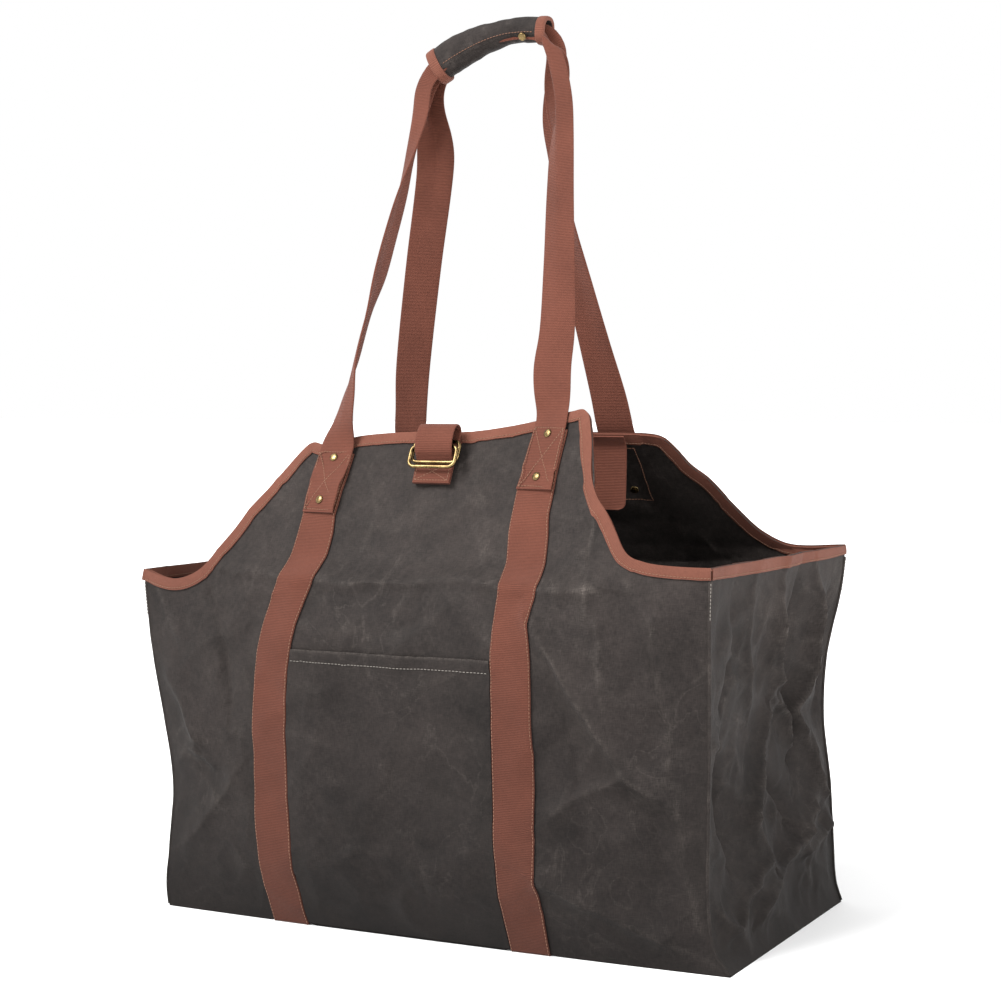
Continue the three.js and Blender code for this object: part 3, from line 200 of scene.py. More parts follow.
def canvas_finish():
    """Dark canvas that pales with the cloth's wear attribute, the bloom and its scuffs, and is darkened towards the
    floor as painted shade.
    """
    material, tree, bsdf = shader("waxed_canvas", 0.72)
    place = add(tree, "ShaderNodeTexCoord")
    weave = use_effect(tree, WEAVE, place.outputs["UV"], Across=THREAD_PITCH * MM, Along=THREAD_PITCH * MM)
    bloom = use_effect(tree, BLOOM, place.outputs["Object"], Size=1.0)
    worn = add(tree, "ShaderNodeAttribute", attribute_name="wear").outputs["Fac"]
    cloudy = add(tree, "ShaderNodeMapRange", bloom.outputs["Cloud"], 0.38, 0.62)
    base = blend_colours(tree, cloudy.outputs[0], CANVAS_DARK, CANVAS_MID)
    marks = math_node(tree, "ADD", worn, math_node(tree, "MULTIPLY", bloom.outputs["Scuff"], 0.22))
    grain = add(tree, "ShaderNodeMapRange", weave.outputs["Grain"], 0.3, 0.7)
    broken = math_node(tree, "MULTIPLY", marks, grain.outputs[0], clamp=True)
    pale = blend_colours(tree, broken, base, CANVAS_PALE)
    threads = add(tree, "ShaderNodeMapRange", weave.outputs["Grain"], 0.3, 0.7, 0.72, 1.3)
    # Painted shade: the colour is scaled down towards the floor by the Object height.
    height = add(tree, "ShaderNodeSeparateXYZ", place.outputs["Object"]).outputs["Z"]
    low = add(tree, "ShaderNodeMapRange", height, 0.0, SHADE_HEIGHT, FLOOR_SHADE, 1.0)
    shade = math_node(tree, "MULTIPLY", threads.outputs[0], low.outputs[0])
    colour_with_painted_shade = add(tree, "ShaderNodeVectorMath", pale, operation="SCALE")
    tree.links.new(shade, colour_with_painted_shade.inputs["Scale"])
    tree.links.new(colour_with_painted_shade.outputs[0], bsdf.inputs["Base Color"])
    rough = add(tree, "ShaderNodeMapRange", bloom.outputs["Cloud"], 0.35, 0.65, 0.62, 0.8)
    tree.links.new(rough.outputs[0], bsdf.inputs["Roughness"])
    bump = add(tree, "ShaderNodeBump", strength=0.35, distance=0.0004)
    tree.links.new(weave.outputs["Height"], bump.inputs["Height"])
    tree.links.new(bump.outputs[0], bsdf.inputs["Normal"])
    bsdf.inputs["Specular IOR Level"].default_value = 0.1
    bsdf.inputs["Sheen Weight"].default_value = 0.012
    bsdf.inputs["Sheen Roughness"].default_value = 0.5
    return material


CANVAS_FINISH = canvas_finish()


# Front and back panels. Each is one piece of canvas from the base to a raised, sloped top edge;
# the filled wall stands out between its corner seams, leans in above the rim, and is creased.
HALF_LENGTH = 300.0
HALF_DEPTH = 153.0
RIM_HEIGHT = 340.0
PANEL_HEIGHT = 470.0
BULGE = 44.0
FRONT_LEAN = 66.0
BACK_LEAN = 104.0
CANVAS = 2.0
WEBBING = 1.8
GAP = 0.3
STRAP_WIDTH = 38.0
STRAP_SPACING = 240.0
PANEL_CELLS = (220, 140)
NORMAL_STEP = 0.8
STEEP = 1.7
FOLD_GAIN = 2.0
PANEL_TRIM = 0.8

SEAM_HEIGHTS = (0, 0.06, 0.18, 0.35, 0.53, 0.7, 0.88, 1)
BULGE_HEIGHTS = (0, 0.06, 0.18, 0.35, 0.59, 0.76, 0.88, 0.945, 1)
STRAP_HEIGHTS = (0, 0.13, 0.38, 0.55, 0.64, 0.7, 0.82, 1)
EDGE_PLACES = (-1, -0.88, -0.8, -0.74, -0.6, -0.49, -0.42, -0.3, -0.1, 0.1,
               0.28, 0.43, 0.485, 0.52, 0.55, 0.6, 0.67, 0.73, 0.82, 1)
SWAY_PLACES = (-1, -0.48, -0.28, 0, 0.27, 0.48, 1)

# Lines of the creases: points (x, z) that a crease runs through, its rise, its spread, and how
# far its crest has paled. A negative rise is a dent.
FRONT_CREASES = [
    (((-186, 324), (-60, 319), (60, 325), (180, 320)), 3.6, 13, 0.35),
    (((129, 299), (152, 262), (190, 203), (216, 166), (249, 143)), 6.2, 15, 0.55),
    (((216, 166), (186, 152), (150, 129)), 3.6, 11, 0.3),
    (((234, 292), (247, 215), (256, 150), (262, 84), (277, 36)), 5.0, 13, 0.5),
    (((141, 68), (200, 42), (262, 20), (296, 6)), 4.6, 14, 0.4),
    (((-270, 221), (-248, 196), (-231, 170)), 5.2, 14, 0.3),
    (((-249, 61), (-214, 92), (-180, 129)), 3.2, 15, 0.2),
    (((160, 440), (168, 370), (174, 335), (178, 300)), 1.4, 5, 0.8),
    (((185, 292), (190, 255), (197, 220)), 1.6, 6, 0.4),
    (((-262, 142), (-240, 158), (-205, 140)), 2.4, 8, 0.35),
    (((236, 292), (262, 240), (270, 200)), -3.0, 9, 0.0),
    (((262, 190), (284, 187)), -3.4, 7, 0.0),
    (((-4, 278), (22, 291)), -1.6, 8, 0.15),
    (((-215, 300), (-190, 250), (-186, 200)), -2.6, 12, 0.1),
    (((210, 160), (236, 128), (244, 84)), -2.6, 12, 0.0),
    (((-60, 210), (0, 150), (50, 135)), -1.8, 24, 0.1),
    (((-90, 60), (-30, 84), (40, 72)), 1.6, 16, 0.15),
    (((-70, 420), (-52, 380), (-58, 345)), 1.0, 6, 0.25),
    (((40, 415), (64, 372), (70, 340)), 1.0, 6, 0.2),
    (((150, 250), (170, 180), (176, 110)), -2.0, 16, 0.0),
]
BACK_CREASES = [
    (((-186, 323), (0, 319), (180, 324)), 3.2, 13, 0.35),
    (((-150, 289), (-205, 214), (-255, 136)), 5.0, 15, 0.5),
    (((180, 272), (214, 188), (240, 102)), 5.0, 15, 0.5),
    (((-60, 240), (10, 180), (80, 170)), -2.4, 22, 0.1),
    (((60, 90), (140, 62), (230, 30)), 3.6, 14, 0.3),
    (((-240, 70), (-190, 120), (-160, 180)), 3.0, 14, 0.3),
    (((40, 400), (60, 360), (52, 332)), 1.2, 6, 0.3),
]
FRONT = {
    "out": -1,
    "lean": FRONT_LEAN,
    "left": (-0.893, -0.907, -0.9, -0.893, -0.93, -0.967, -0.987, -0.992),
    "right": (1.01, 0.957, 0.934, 0.93, 0.93, 0.932, 0.934, 0.938),
    "depth": (-1.045, -1.03, -1.01, -0.99, -0.98, -0.99, -1.005, -1.01),
    "bulge": (0.1, 0.34, 0.74, 0.92, 1, 0.9, 0.62, 0.36, 0),
    "left_strap": (-0.527, -0.55, -0.562, -0.535, -0.498, -0.467, -0.467, -0.46),
    "right_strap": (0.5, 0.49, 0.474, 0.468, 0.466, 0.47, 0.436, 0.452),
    "edge": (0.685, 0.668, 0.677, 0.705, 0.84, 0.936, 0.937, 0.955, 0.964, 0.966,
             0.984, 1.005, 1, 0.93, 0.862, 0.82, 0.755, 0.735, 0.728, 0.728),
    "sway": (0.05, 0.1, -0.02, -0.05, 0.1, -0.18, -0.1),
    "creases": FRONT_CREASES,
    "cells": (64, 27),
    "crumple": (4.2, 1.6),
    "swell": 2.0,
    "seed": 11,
}
BACK = {
    "out": 1,
    "lean": BACK_LEAN,
    "left": (-0.97, -0.95, -0.92, -0.9, -0.9, -0.92, -0.95, -0.97),
    "right": (1, 0.98, 0.972, 0.963, 0.943, 0.947, 0.985, 1),
    "depth": (0.96, 0.95, 0.94, 0.92, 0.9, 0.93, 0.97, 0.99),
    "bulge": (0.1, 0.3, 0.66, 0.84, 0.9, 0.8, 0.5, 0.24, 0),
    "left_strap": (-0.52, -0.53, -0.535, -0.535, -0.54, -0.545, -0.555, -0.565),
    "right_strap": (0.47, 0.465, 0.46, 0.455, 0.445, 0.435, 0.415, 0.405),
    "edge": (0.69, 0.685, 0.69, 0.715, 0.84, 0.935, 0.945, 0.955, 0.96, 0.96,
             0.96, 0.958, 0.95, 0.925, 0.895, 0.865, 0.8, 0.757, 0.73, 0.732),
    "sway": (0.02, 0.04, -0.02, -0.06, -0.02, 0.05, 0.02),
    "creases": BACK_CREASES,
    "cells": (64, 27),
    "crumple": (4.2, 1.6),
    "swell": 2.0,
    "seed": 23,
}


def smooth(keys, values, at):
    """Cubic through the values at the keys, each key's slope being the chord between its two neighbours."""
    keys, values = np.asarray(keys, float), np.asarray(values, float)
    last = len(keys) - 1
    before = np.maximum(np.arange(last + 1) - 1, 0)
    after = np.minimum(np.arange(last + 1) + 1, last)
    slopes = (values[after] - values[before]) / (keys[after] - keys[before])
    at = np.clip(at, keys[0], keys[-1])
    i = np.clip(np.searchsorted(keys, at, side="right") - 1, 0, last - 1)
    span = keys[i + 1] - keys[i]
    t = (at - keys[i]) / span
    level = values[i] + (values[i + 1] - values[i]) * t * t * (3 - 2 * t)
    return level + span * t * (1 - t) * (slopes[i] * (1 - t) - slopes[i + 1] * t)


def cloud_noise(a, b, cell, seed):
    """Soft noise from -1 to 1: random values on a square grid of that cell, eased between by 3t^2 - 2t^3."""
    grid = np.random.default_rng(seed).uniform(-1, 1, (64, 64))
    a, b = np.asarray(a) / cell + 31.7, np.asarray(b) / cell + 17.3
    i, j = np.floor(a).astype(int), np.floor(b).astype(int)
    s, t = a - i, b - j
    s, t = s * s * (3 - 2 * s), t * t * (3 - 2 * t)
    i0, i1, j0, j1 = i % 64, (i + 1) % 64, j % 64, (j + 1) % 64
    low = grid[i0, j0] * (1 - s) + grid[i1, j0] * s
    high = grid[i0, j1] * (1 - s) + grid[i1, j1] * s
    return low * (1 - t) + high * t


def line_distance(points, a, b):
    """Distance from (a, b) to the nearest point of a chain of straight pieces, and the side of it: 1 left, -1 right."""
    best = np.full(np.shape(a), np.inf)
    side = np.ones(np.shape(a))
    for (a0, b0), (a1, b1) in zip(points[:-1], points[1:]):
        length = (a1 - a0) ** 2 + (b1 - b0) ** 2
        t = np.clip(((a - a0) * (a1 - a0) + (b - b0) * (b1 - b0)) / length, 0, 1)
        away = np.hypot(a - a0 - t * (a1 - a0), b - b0 - t * (b1 - b0))
        turn = np.sign((a1 - a0) * (b - b0) - (b1 - b0) * (a - a0))
        side = np.where(away < best, turn, side)
        best = np.minimum(best, away)
    return best, side


def crumple(a, b, cell, seed):
    """Creased noise as (height, crest): |n| for a noise n on warped, slanted coordinates, so the cloth breaks into flat
    faces along the lines where n is 0; crest is 1 on those lines."""
    warp_a = a + 0.35 * cell * cloud_noise(a, b, cell * 0.8, seed + 7)
    warp_b = b + 0.35 * cell * cloud_noise(a, b, cell * 0.8, seed + 8)
    slant_a, slant_b = 0.82 * warp_a - 0.57 * warp_b, 0.57 * warp_a + 0.82 * warp_b
    n = cloud_noise(slant_a, slant_b, cell, seed)
    return 0.4 - np.abs(n), np.exp(-((n * cell / 3.0) ** 2))


def small_wrinkles(seed, count, low, high):
    """Short random creases inside a rectangle: each bends once, rises or sinks up to 1.6 mm and spreads 3 to 9 mm."""
    rng = np.random.default_rng(seed)
    made = []
    for _ in range(count):
        start = rng.uniform(low, high)
        turn = rng.uniform(0, math.pi)
        bend = turn + rng.uniform(-0.7, 0.7)
        run = rng.uniform(10, 42)
        middle = start + run * np.array((math.cos(turn), math.sin(turn)))
        end = middle + run * rng.uniform(0.5, 1) * np.array((math.cos(bend), math.sin(bend)))
        rise = rng.uniform(0.3, 1.5) * rng.choice((-1, 1))
        made.append(((tuple(start), tuple(middle), tuple(end)), rise, rng.uniform(3, 9), rng.uniform(0, 0.28)))
    return made


def crease_relief(creases, a, b):
    """Sum over the creases of rise * exp(0.14 - sqrt(x^2 + 0.02)), a ridge with a narrow crest, where x is the distance
    from its line over its spread, wandering with noise; the right side of a line falls off STEEP times as fast."""
    total = np.zeros(np.shape(a))
    wander_a = a + 2.5 * cloud_noise(a, b, 24, 5)
    wander_b = b + 2.5 * cloud_noise(a, b, 24, 6)
    for points, rise, spread, _ in creases:
        away, side = line_distance(points, wander_a, wander_b)
        total += rise * np.exp(0.14 - np.sqrt((away / spread * np.where(side > 0, 1, STEEP)) ** 2 + 0.02))
    return total


def crease_wear(creases, a, b, crest=0.0):
    """Sum over the creases of wear * exp(-(d / 1.7)^2), the thin pale line along a crest, patchy with noise, and a
    faint halo round it; crest adds the lines of the crumpled cloth."""
    total = np.zeros(np.shape(a)) + 0.22 * crest
    wander_a = a + 2.5 * cloud_noise(a, b, 24, 5)
    wander_b = b + 2.5 * cloud_noise(a, b, 24, 6)
    for points, _, _, wear in creases:
        away, _ = line_distance(points, wander_a, wander_b)
        total += wear * (0.7 * np.exp(-((away / 1.7) ** 2)) + 0.14 * np.exp(-((away / 9) ** 2)))
    patchy = 0.5 + 0.6 * cloud_noise(a, b, 9, 8)
    return np.clip(total * patchy, 0, 1)


def cloth_relief(piece, a, b):
    """Relief of one wall as (height, crest): its creases, its wrinkles, soft swells and crumples at two sizes."""
    large, large_crest = crumple(a, b, piece["cells"][0], piece["seed"] + 2)
    small, small_crest = crumple(a, b, piece["cells"][1], piece["seed"] + 3)
    height = FOLD_GAIN * crease_relief(piece["creases"], a, b) + crease_relief(piece["wrinkles"], a, b)
    height = height + piece["swell"] * cloud_noise(a, b, 58, piece["seed"])
    height = height + piece["crumple"][0] * large + piece["crumple"][1] * small
    return height, np.clip(0.6 * large_crest + 0.4 * small_crest, 0, 1)


FRONT["wrinkles"] = small_wrinkles(FRONT["seed"], 70, (-280, 20), (270, 430))
BACK["wrinkles"] = small_wrinkles(BACK["seed"], 70, (-280, 20), (280, 420))


def seam_x(side, corner, z):
    return smooth(SEAM_HEIGHTS, side[corner], z / RIM_HEIGHT) * HALF_LENGTH


def strap_x(side, corner, z):
    return smooth(STRAP_HEIGHTS, side[f"{corner}_strap"], z / PANEL_HEIGHT) * STRAP_SPACING


def edge_height(side, x):
    return smooth(EDGE_PLACES, side["edge"], x / HALF_LENGTH) * PANEL_HEIGHT


def wall_y(side, x, z):
    """Depth of a big wall's outer face: seam depth + out * (bulge * (1 - |2p - 1|^2.6) + relief - lean) + sway, where p is
    the place between the corner seams. The relief fades at the seams and the floor."""
    low = np.minimum(z, RIM_HEIGHT)
    left, right = seam_x(side, "left", low), seam_x(side, "right", low)
    place = np.clip((x - left) / (right - left), 0, 1)
    crown = 1 - np.abs(2 * place - 1) ** 2.6
    bulge = smooth(BULGE_HEIGHTS, side["bulge"], z / RIM_HEIGHT) * BULGE * crown
    above = np.maximum(0, z - RIM_HEIGHT) / (PANEL_HEIGHT - RIM_HEIGHT)
    sway = smooth(SWAY_PLACES, side["sway"], x / HALF_LENGTH) * FRONT_LEAN * np.clip(above, 0, 1)
    fade = np.clip(12 * place, 0, 1) * np.clip(12 * (1 - place), 0, 1) * np.clip(z / 30, 0, 1)
    relief, _ = cloth_relief(side, x, z)
    depth = smooth(SEAM_HEIGHTS, side["depth"], low / RIM_HEIGHT) * HALF_DEPTH
    return depth + side["out"] * (bulge + relief * fade - side["lean"] * above) + sway


def wall_frame(side, x, z):
    """Points of the outer face and its outward normals, out * (-dy/dx, 1, -dy/dz), level at the floor."""
    x, z = np.broadcast_arrays(np.asarray(x, float), np.asarray(z, float))
    y = wall_y(side, x, z)
    step = NORMAL_STEP
    slope_x = (wall_y(side, x + step, z) - wall_y(side, x - step, z)) / (2 * step)
    slope_z = (wall_y(side, x, z + step) - wall_y(side, x, z - step)) / (2 * step)
    normal = side["out"] * np.stack([-slope_x, np.ones_like(y), -slope_z * np.clip(z / 12, 0, 1)], -1)
    return np.stack([x, y, z], -1), normal / np.linalg.norm(normal, axis=-1, keepdims=True)


def on_wall(side, x, z, out=0.0):
    """Point at x, z, moved out from the canvas along the wall's normal."""
    points, normals = wall_frame(side, x, z)
    return points + normals * np.broadcast_to(out, np.shape(points)[:-1])[..., None]


def sheet_faces(across, along, closed=False):
    """Quads of a closed sheet whose outer grid comes first. Each cell joins its four corners, the inner grid's cells run
    the other way, and a strip closes the border. A closed sheet joins its last column to its first."""
    ids = np.arange(across * along).reshape(across, along)
    count = across * along
    if closed:
        ids = np.vstack([ids, ids[:1]])
    cells = np.stack([ids[:-1, :-1], ids[1:, :-1], ids[1:, 1:], ids[:-1, 1:]], -1).reshape(-1, 4)
    if closed:
        strips = [(ids[:-1, 0], ids[1:, 0]), (ids[1:, -1], ids[:-1, -1])]
    else:
        rim = np.concatenate([ids[:, 0], ids[-1, 1:], ids[-2::-1, -1], ids[0, -2:0:-1]])
        strips = [(rim, np.roll(rim, -1))]
    border = [np.stack([after, now, now + count, after + count], -1) for now, after in strips]
    return np.concatenate([cells, cells[:, ::-1] + count, *border])


def outward(points, faces):
    """The faces, all turned round if the volume that they close, a sum of triple products, is negative."""
    a, b, c, d = (points[faces[:, k]] for k in range(4))
    volume = np.einsum("ij,ij->", a, np.cross(b, c)) + np.einsum("ij,ij->", a, np.cross(c, d))
    return faces if volume > 0 else faces[:, ::-1]


def new_piece(name, points, faces, finish, nodes=(), uv=None, wear=None, sharp=45):
    """Mesh piece of points in millimetres and quads, with its cloth coordinates in the UV map and its wear attribute. It
    rides on the root body and stands for the CAD nodes."""
    points = np.asarray(points, float).reshape(-1, 3)
    faces = outward(points, faces)
    mesh = bpy.data.meshes.new(name)
    mesh.from_pydata((points * MM).tolist(), [], faces.tolist())
    if uv is not None:
        layer = mesh.uv_layers.new(name="cloth")
        layer.uv.foreach_set("vector", (np.asarray(uv, float).reshape(-1, 2)[faces.ravel()] * MM).ravel())
    if wear is not None:
        layer = mesh.attributes.new("wear", "FLOAT", "POINT")
        layer.data.foreach_set("value", np.asarray(wear, np.float32).ravel())
    mesh.polygons.foreach_set("use_smooth", np.ones(len(faces), bool))
    mesh.set_sharp_from_angle(angle=math.radians(sharp))
    mesh.materials.append(finish)
    piece = bpy.data.objects.new(name, mesh)
    bpy.context.scene.collection.objects.link(piece)
    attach(piece, "root")
    if nodes:
        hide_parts(*nodes)
    return piece


def sheet_piece(name, outer, inner, finish, nodes=(), uv=None, wear=None, closed=False):
    """Closed sheet between two grids of points of one size, both faces sharing the cloth coordinates."""
    across, along = np.shape(outer)[:2]
    points = np.concatenate([np.reshape(outer, (-1, 3)), np.reshape(inner, (-1, 3))])
    if uv is None:
        runs = np.linalg.norm(np.diff(outer, axis=1), axis=-1).mean(0)
        widths = np.linalg.norm(np.diff(outer, axis=0), axis=-1).mean(1)
        along_at = np.concatenate([[0], np.cumsum(runs)])
        across_at = np.concatenate([[0], np.cumsum(widths)])
        uv = np.stack(np.meshgrid(across_at, along_at, indexing="ij"), -1)
    doubled = np.concatenate([np.reshape(uv, (-1, 2))] * 2)
    worn = None if wear is None else np.concatenate([np.ravel(wear)] * 2)
    faces = sheet_faces(across, along, closed)
    return new_piece(name, points, faces, finish, nodes, doubled, worn)


def foot_lift(side, x):
    """The canvas rises by one layer of webbing where a strap passes below it."""
    gaps = [np.abs(x - strap_x(side, corner, 0.0)) for corner in ("left", "right")]
    return (WEBBING + GAP) * np.clip((STRAP_WIDTH / 2 + 6.6 - np.minimum(*gaps)) / 6, 0, 1)


def panel_grid(side, cells):
    """x and z of a big panel: columns evenly spaced along the top edge, rows at even shares from the foot to the edge."""
    left, right = seam_x(side, "left", RIM_HEIGHT), seam_x(side, "right", RIM_HEIGHT)
    fine = np.linspace(left, right, 2000)
    chord = np.concatenate([[0], np.cumsum(np.hypot(np.diff(fine), np.diff(edge_height(side, fine))))])
    edge_x = np.interp(np.linspace(0, chord[-1], cells[0] + 1), chord, fine)[:, None]
    share = (edge_x - left) / (right - left)
    rise = np.linspace(0, 1, cells[1] + 1)[None, :]
    top = edge_height(side, edge_x) - PANEL_TRIM
    foot_x = seam_x(side, "left", 0.0) * (1 - share) + seam_x(side, "right", 0.0) * share
    lift = foot_lift(side, foot_x)
    z = lift + rise * (top - lift)
    low = np.minimum(z, RIM_HEIGHT)
    return seam_x(side, "left", low) * (1 - share) + seam_x(side, "right", low) * share, z


for panel_name, side in (("front_panel", FRONT), ("back_panel", BACK)):
    x, z = panel_grid(side, PANEL_CELLS)
    points, normals = wall_frame(side, x, z)
    worn = crease_wear(side["creases"] + side["wrinkles"], x, z, cloth_relief(side, x, z)[1])
    sheet_piece(f"{panel_name}_cloth", points, points - normals * CANVAS, CANVAS_FINISH, [panel_name],
                np.stack([x, z], -1), worn)


# Pocket. A flat patch of the same canvas between the two front straps, its sides caught under them
# and its top hem turned in and sewn with pale thread.
POCKET_HEIGHT = 258.0
POCKET_FOOT = 3.0
HEM_DROP = 11.0
POCKET_CELLS = (84, 88)
HEM_SWELL = 0.8

share = np.linspace(0, 1, POCKET_CELLS[0] + 1)[:, None]
z = np.linspace(POCKET_FOOT, POCKET_HEIGHT, POCKET_CELLS[1] + 1)[None, :]
inset = STRAP_WIDTH / 2 + 2 * GAP
near = strap_x(FRONT, "left", z) + inset
far = strap_x(FRONT, "right", z) - inset
x, z = np.broadcast_arrays(near + (far - near) * share, z)
points, normals = wall_frame(FRONT, x, z)
swell = HEM_SWELL * np.exp(-(((POCKET_HEIGHT - 3 - z) / 5) ** 2))
slack = 1.2 * np.sin(math.pi * share) * np.clip((z - 200) / 58, 0, 1) ** 2
outer = points + normals * (GAP + CANVAS * 0.7 + swell + slack)[..., None]
inner = points + normals * (GAP + slack * 0.6)[..., None]
worn = np.clip(crease_wear(FRONT["creases"] + FRONT["wrinkles"], x, z)
               + 0.35 * np.exp(-(((POCKET_HEIGHT - z) / 1.6) ** 2)), 0, 1)
sheet_piece("front_pocket_cloth", outer, inner, CANVAS_FINISH, ["front_pocket"], np.stack([x, z], -1), worn)


# Base. One flat piece of canvas inside the foot of the walls, resting on the floor and lifted a
# little where the two straps cross below it.
BASE_CELLS = (120, 60)
BASE_INSET = 3.4

share = np.linspace(0, 1, BASE_CELLS[0] + 1)[:, None]
depth = np.linspace(0, 1, BASE_CELLS[1] + 1)[None, :]
tuck = 8.0 * (1 - 2 * share)


def foot_line(side):
    """Foot of a big wall as a row of points, drawn in from the corner seams by the tuck."""
    x = seam_x(side, "left", 0.0) * (1 - share) + seam_x(side, "right", 0.0) * share + tuck
    z = foot_lift(side, x)
    points = on_wall(side, x, z)
    points[..., 1] -= side["out"] * BASE_INSET
    return points


near, far = foot_line(FRONT), foot_line(BACK)
under = near * (1 - depth[..., None]) + far * depth[..., None]
sag = np.stack([np.zeros_like(under[..., 0])] * 2 + [0.9 * (1 + cloud_noise(under[..., 0], under[..., 1], 60, 31))
                                                     * np.sin(math.pi * depth) * np.sin(math.pi * share)], -1)
under = under + sag
over = under + np.array([0, 0, CANVAS])
worn = crease_wear(small_wrinkles(37, 60, (-270, -130), (270, 130)), under[..., 0], under[..., 1])
sheet_piece("base_cloth", under, over, CANVAS_FINISH, ["base_panel"], under[..., :2], worn)


# End panels. Narrow gussets between the big panels, a little lower and drawn in at mid height; they
# are the most crumpled cloth of the bag, with long folds from the rim and crossed ones near the floor.
END_TUCK = 9.0
END_CELLS = (130, 132)
BINDING_DEPTH = 11.0
RIGHT_CREASES = [
    (((10, 350), (-5, 310), (3, 260), (18, 230)), 7.0, 12, 0.55),
    (((80, 325), (95, 285), (98, 240), (90, 210), (78, 195), (85, 175)), 7.0, 11, 0.55),
    (((45, 335), (42, 280), (40, 225)), -7.0, 15, 0.0),
    (((70, 205), (74, 180), (66, 150)), -8.0, 11, 0.0),
    (((-5, 200), (-20, 180), (-30, 145), (-50, 115), (-25, 75), (-100, 40)), 6.0, 13, 0.45),
    (((0, 140), (25, 120), (35, 95)), -6.0, 11, 0.0),
    (((30, 100), (60, 90), (90, 100)), 5.0, 11, 0.4),
    (((60, 85), (0, 60), (-60, 30)), 7.0, 13, 0.45),
    (((60, 65), (95, 70), (125, 80)), 5.0, 11, 0.4),
    (((-118, 182), (-100, 130), (-96, 88)), -8.0, 16, 0.0),
    (((-150, 190), (-128, 190), (-108, 184)), 3.0, 7, 0.35),
    (((-60, 330), (-66, 270), (-52, 215)), 3.4, 12, 0.3),
    (((-100, 320), (-92, 262), (-105, 220)), -3.4, 14, 0.0),
    (((120, 300), (118, 240), (124, 190)), -4.0, 11, 0.0),
    (((-146, 60), (-120, 30), (-100, 12)), 4.0, 11, 0.35),
    (((100, 150), (108, 120), (120, 110)), 4.0, 9, 0.3),
    (((20, 210), (50, 196), (60, 160)), 3.6, 8, 0.35),
]
LEFT_CREASES = [
    (((-30, 345), (-22, 290), (-15, 232)), 6.0, 13, 0.5),
    (((38, 333), (34, 270), (30, 204)), -6.5, 15, 0.0),
    (((-84, 255), (-66, 200), (-46, 153)), -5.5, 16, 0.0),
    (((92, 306), (84, 220), (69, 136)), 6.0, 15, 0.45),
    (((-76, 102), (-10, 66), (61, 41)), 6.0, 13, 0.45),
    (((-120, 300), (-108, 240), (-116, 190)), 4.0, 11, 0.35),
    (((20, 120), (64, 96), (110, 104)), 4.0, 11, 0.3),
    (((-20, 190), (10, 160), (44, 150)), 4.0, 9, 0.35),
]
RIGHT = {"out": 1, "corner": "right", "creases": RIGHT_CREASES, "seed": 41, "cells": (46, 23),
         "crumple": (7.0, 2.6), "swell": 1.6,
         "wrinkles": small_wrinkles(43, 70, (-145, 15), (140, 330))}
LEFT = {"out": -1, "corner": "left", "creases": LEFT_CREASES, "seed": 47, "cells": (46, 23),
        "crumple": (7.0, 2.6), "swell": 1.6,
        "wrinkles": small_wrinkles(53, 70, (-145, 15), (140, 330))}


def end_points(end, place, z):
    """Outer face of a gusset at a share of the way from front to back: the line between the two corner seams, pushed out by
    relief and drawn in by END_TUCK sin(pi height) sin(pi place). The relief fades at the seams, the floor and the rim."""
    near_x, far_x = seam_x(FRONT, end["corner"], z), seam_x(BACK, end["corner"], z)
    inset = CANVAS * 1.1 + GAP
    near_y = wall_y(FRONT, near_x, z) + inset
    far_y = wall_y(BACK, far_x, z) - inset
    y = near_y + (far_y - near_y) * place
    height = np.clip(z / RIM_HEIGHT, 0, 1)
    tuck = END_TUCK * np.sin(math.pi * height) * np.sin(math.pi * place)
    fade = np.clip(14 * place, 0, 1) * np.clip(14 * (1 - place), 0, 1) * np.clip(z / 30, 0, 1)
    relief, _ = cloth_relief(end, y, z)
    rim = np.clip((RIM_HEIGHT - z) / 60, 0.25, 1)
    x = near_x + (far_x - near_x) * place + end["out"] * (relief * fade * rim - tuck)
    return np.stack([x, y, z], -1)


def end_frame(end, place, z):
    """Points of a gusset and its outward normals, the cross product of its two directions, level at the floor."""
    place, z = np.broadcast_arrays(np.asarray(place, float), np.asarray(z, float))
    across = end_points(end, place + 0.003, z) - end_points(end, place - 0.003, z)
    up = end_points(end, place, z + NORMAL_STEP) - end_points(end, place, z - NORMAL_STEP)
    normal = np.cross(across, up) * end["out"]
    normal[..., 2] *= np.clip(z / 12, 0, 1)
    return end_points(end, place, z), normal / np.linalg.norm(normal, axis=-1, keepdims=True)


def end_top(end, place):
    """Rim height of a gusset: the line between the ends of the two big panels' edges."""
    near = edge_height(FRONT, seam_x(FRONT, end["corner"], RIM_HEIGHT))
    far = edge_height(BACK, seam_x(BACK, end["corner"], RIM_HEIGHT))
    return near + (far - near) * place


for end_name, end in (("right_end", RIGHT), ("left_end", LEFT)):
    place = np.linspace(0, 1, END_CELLS[0] + 1)[:, None]
    rise = np.linspace(0, 1, END_CELLS[1] + 1)[None, :]
    z = rise * end_top(end, place)
    points, normals = end_frame(end, place, z)
    y = points[..., 1]
    worn = crease_wear(end["creases"] + end["wrinkles"], y, z, cloth_relief(end, y, z)[1])
    sheet_piece(f"{end_name}_cloth", points, points - normals * CANVAS, CANVAS_FINISH,
                [f"{end_name}_panel"], points[..., 1:], worn)


# Corner seams. Where a big panel meets a gusset the two edges are turned and sewn, so a narrow
# rolled ridge of canvas runs down each corner, with a few pale stitches showing at the rim.
SEAM_ROLL = 1.7
SEAM_CELLS = (10, 130)


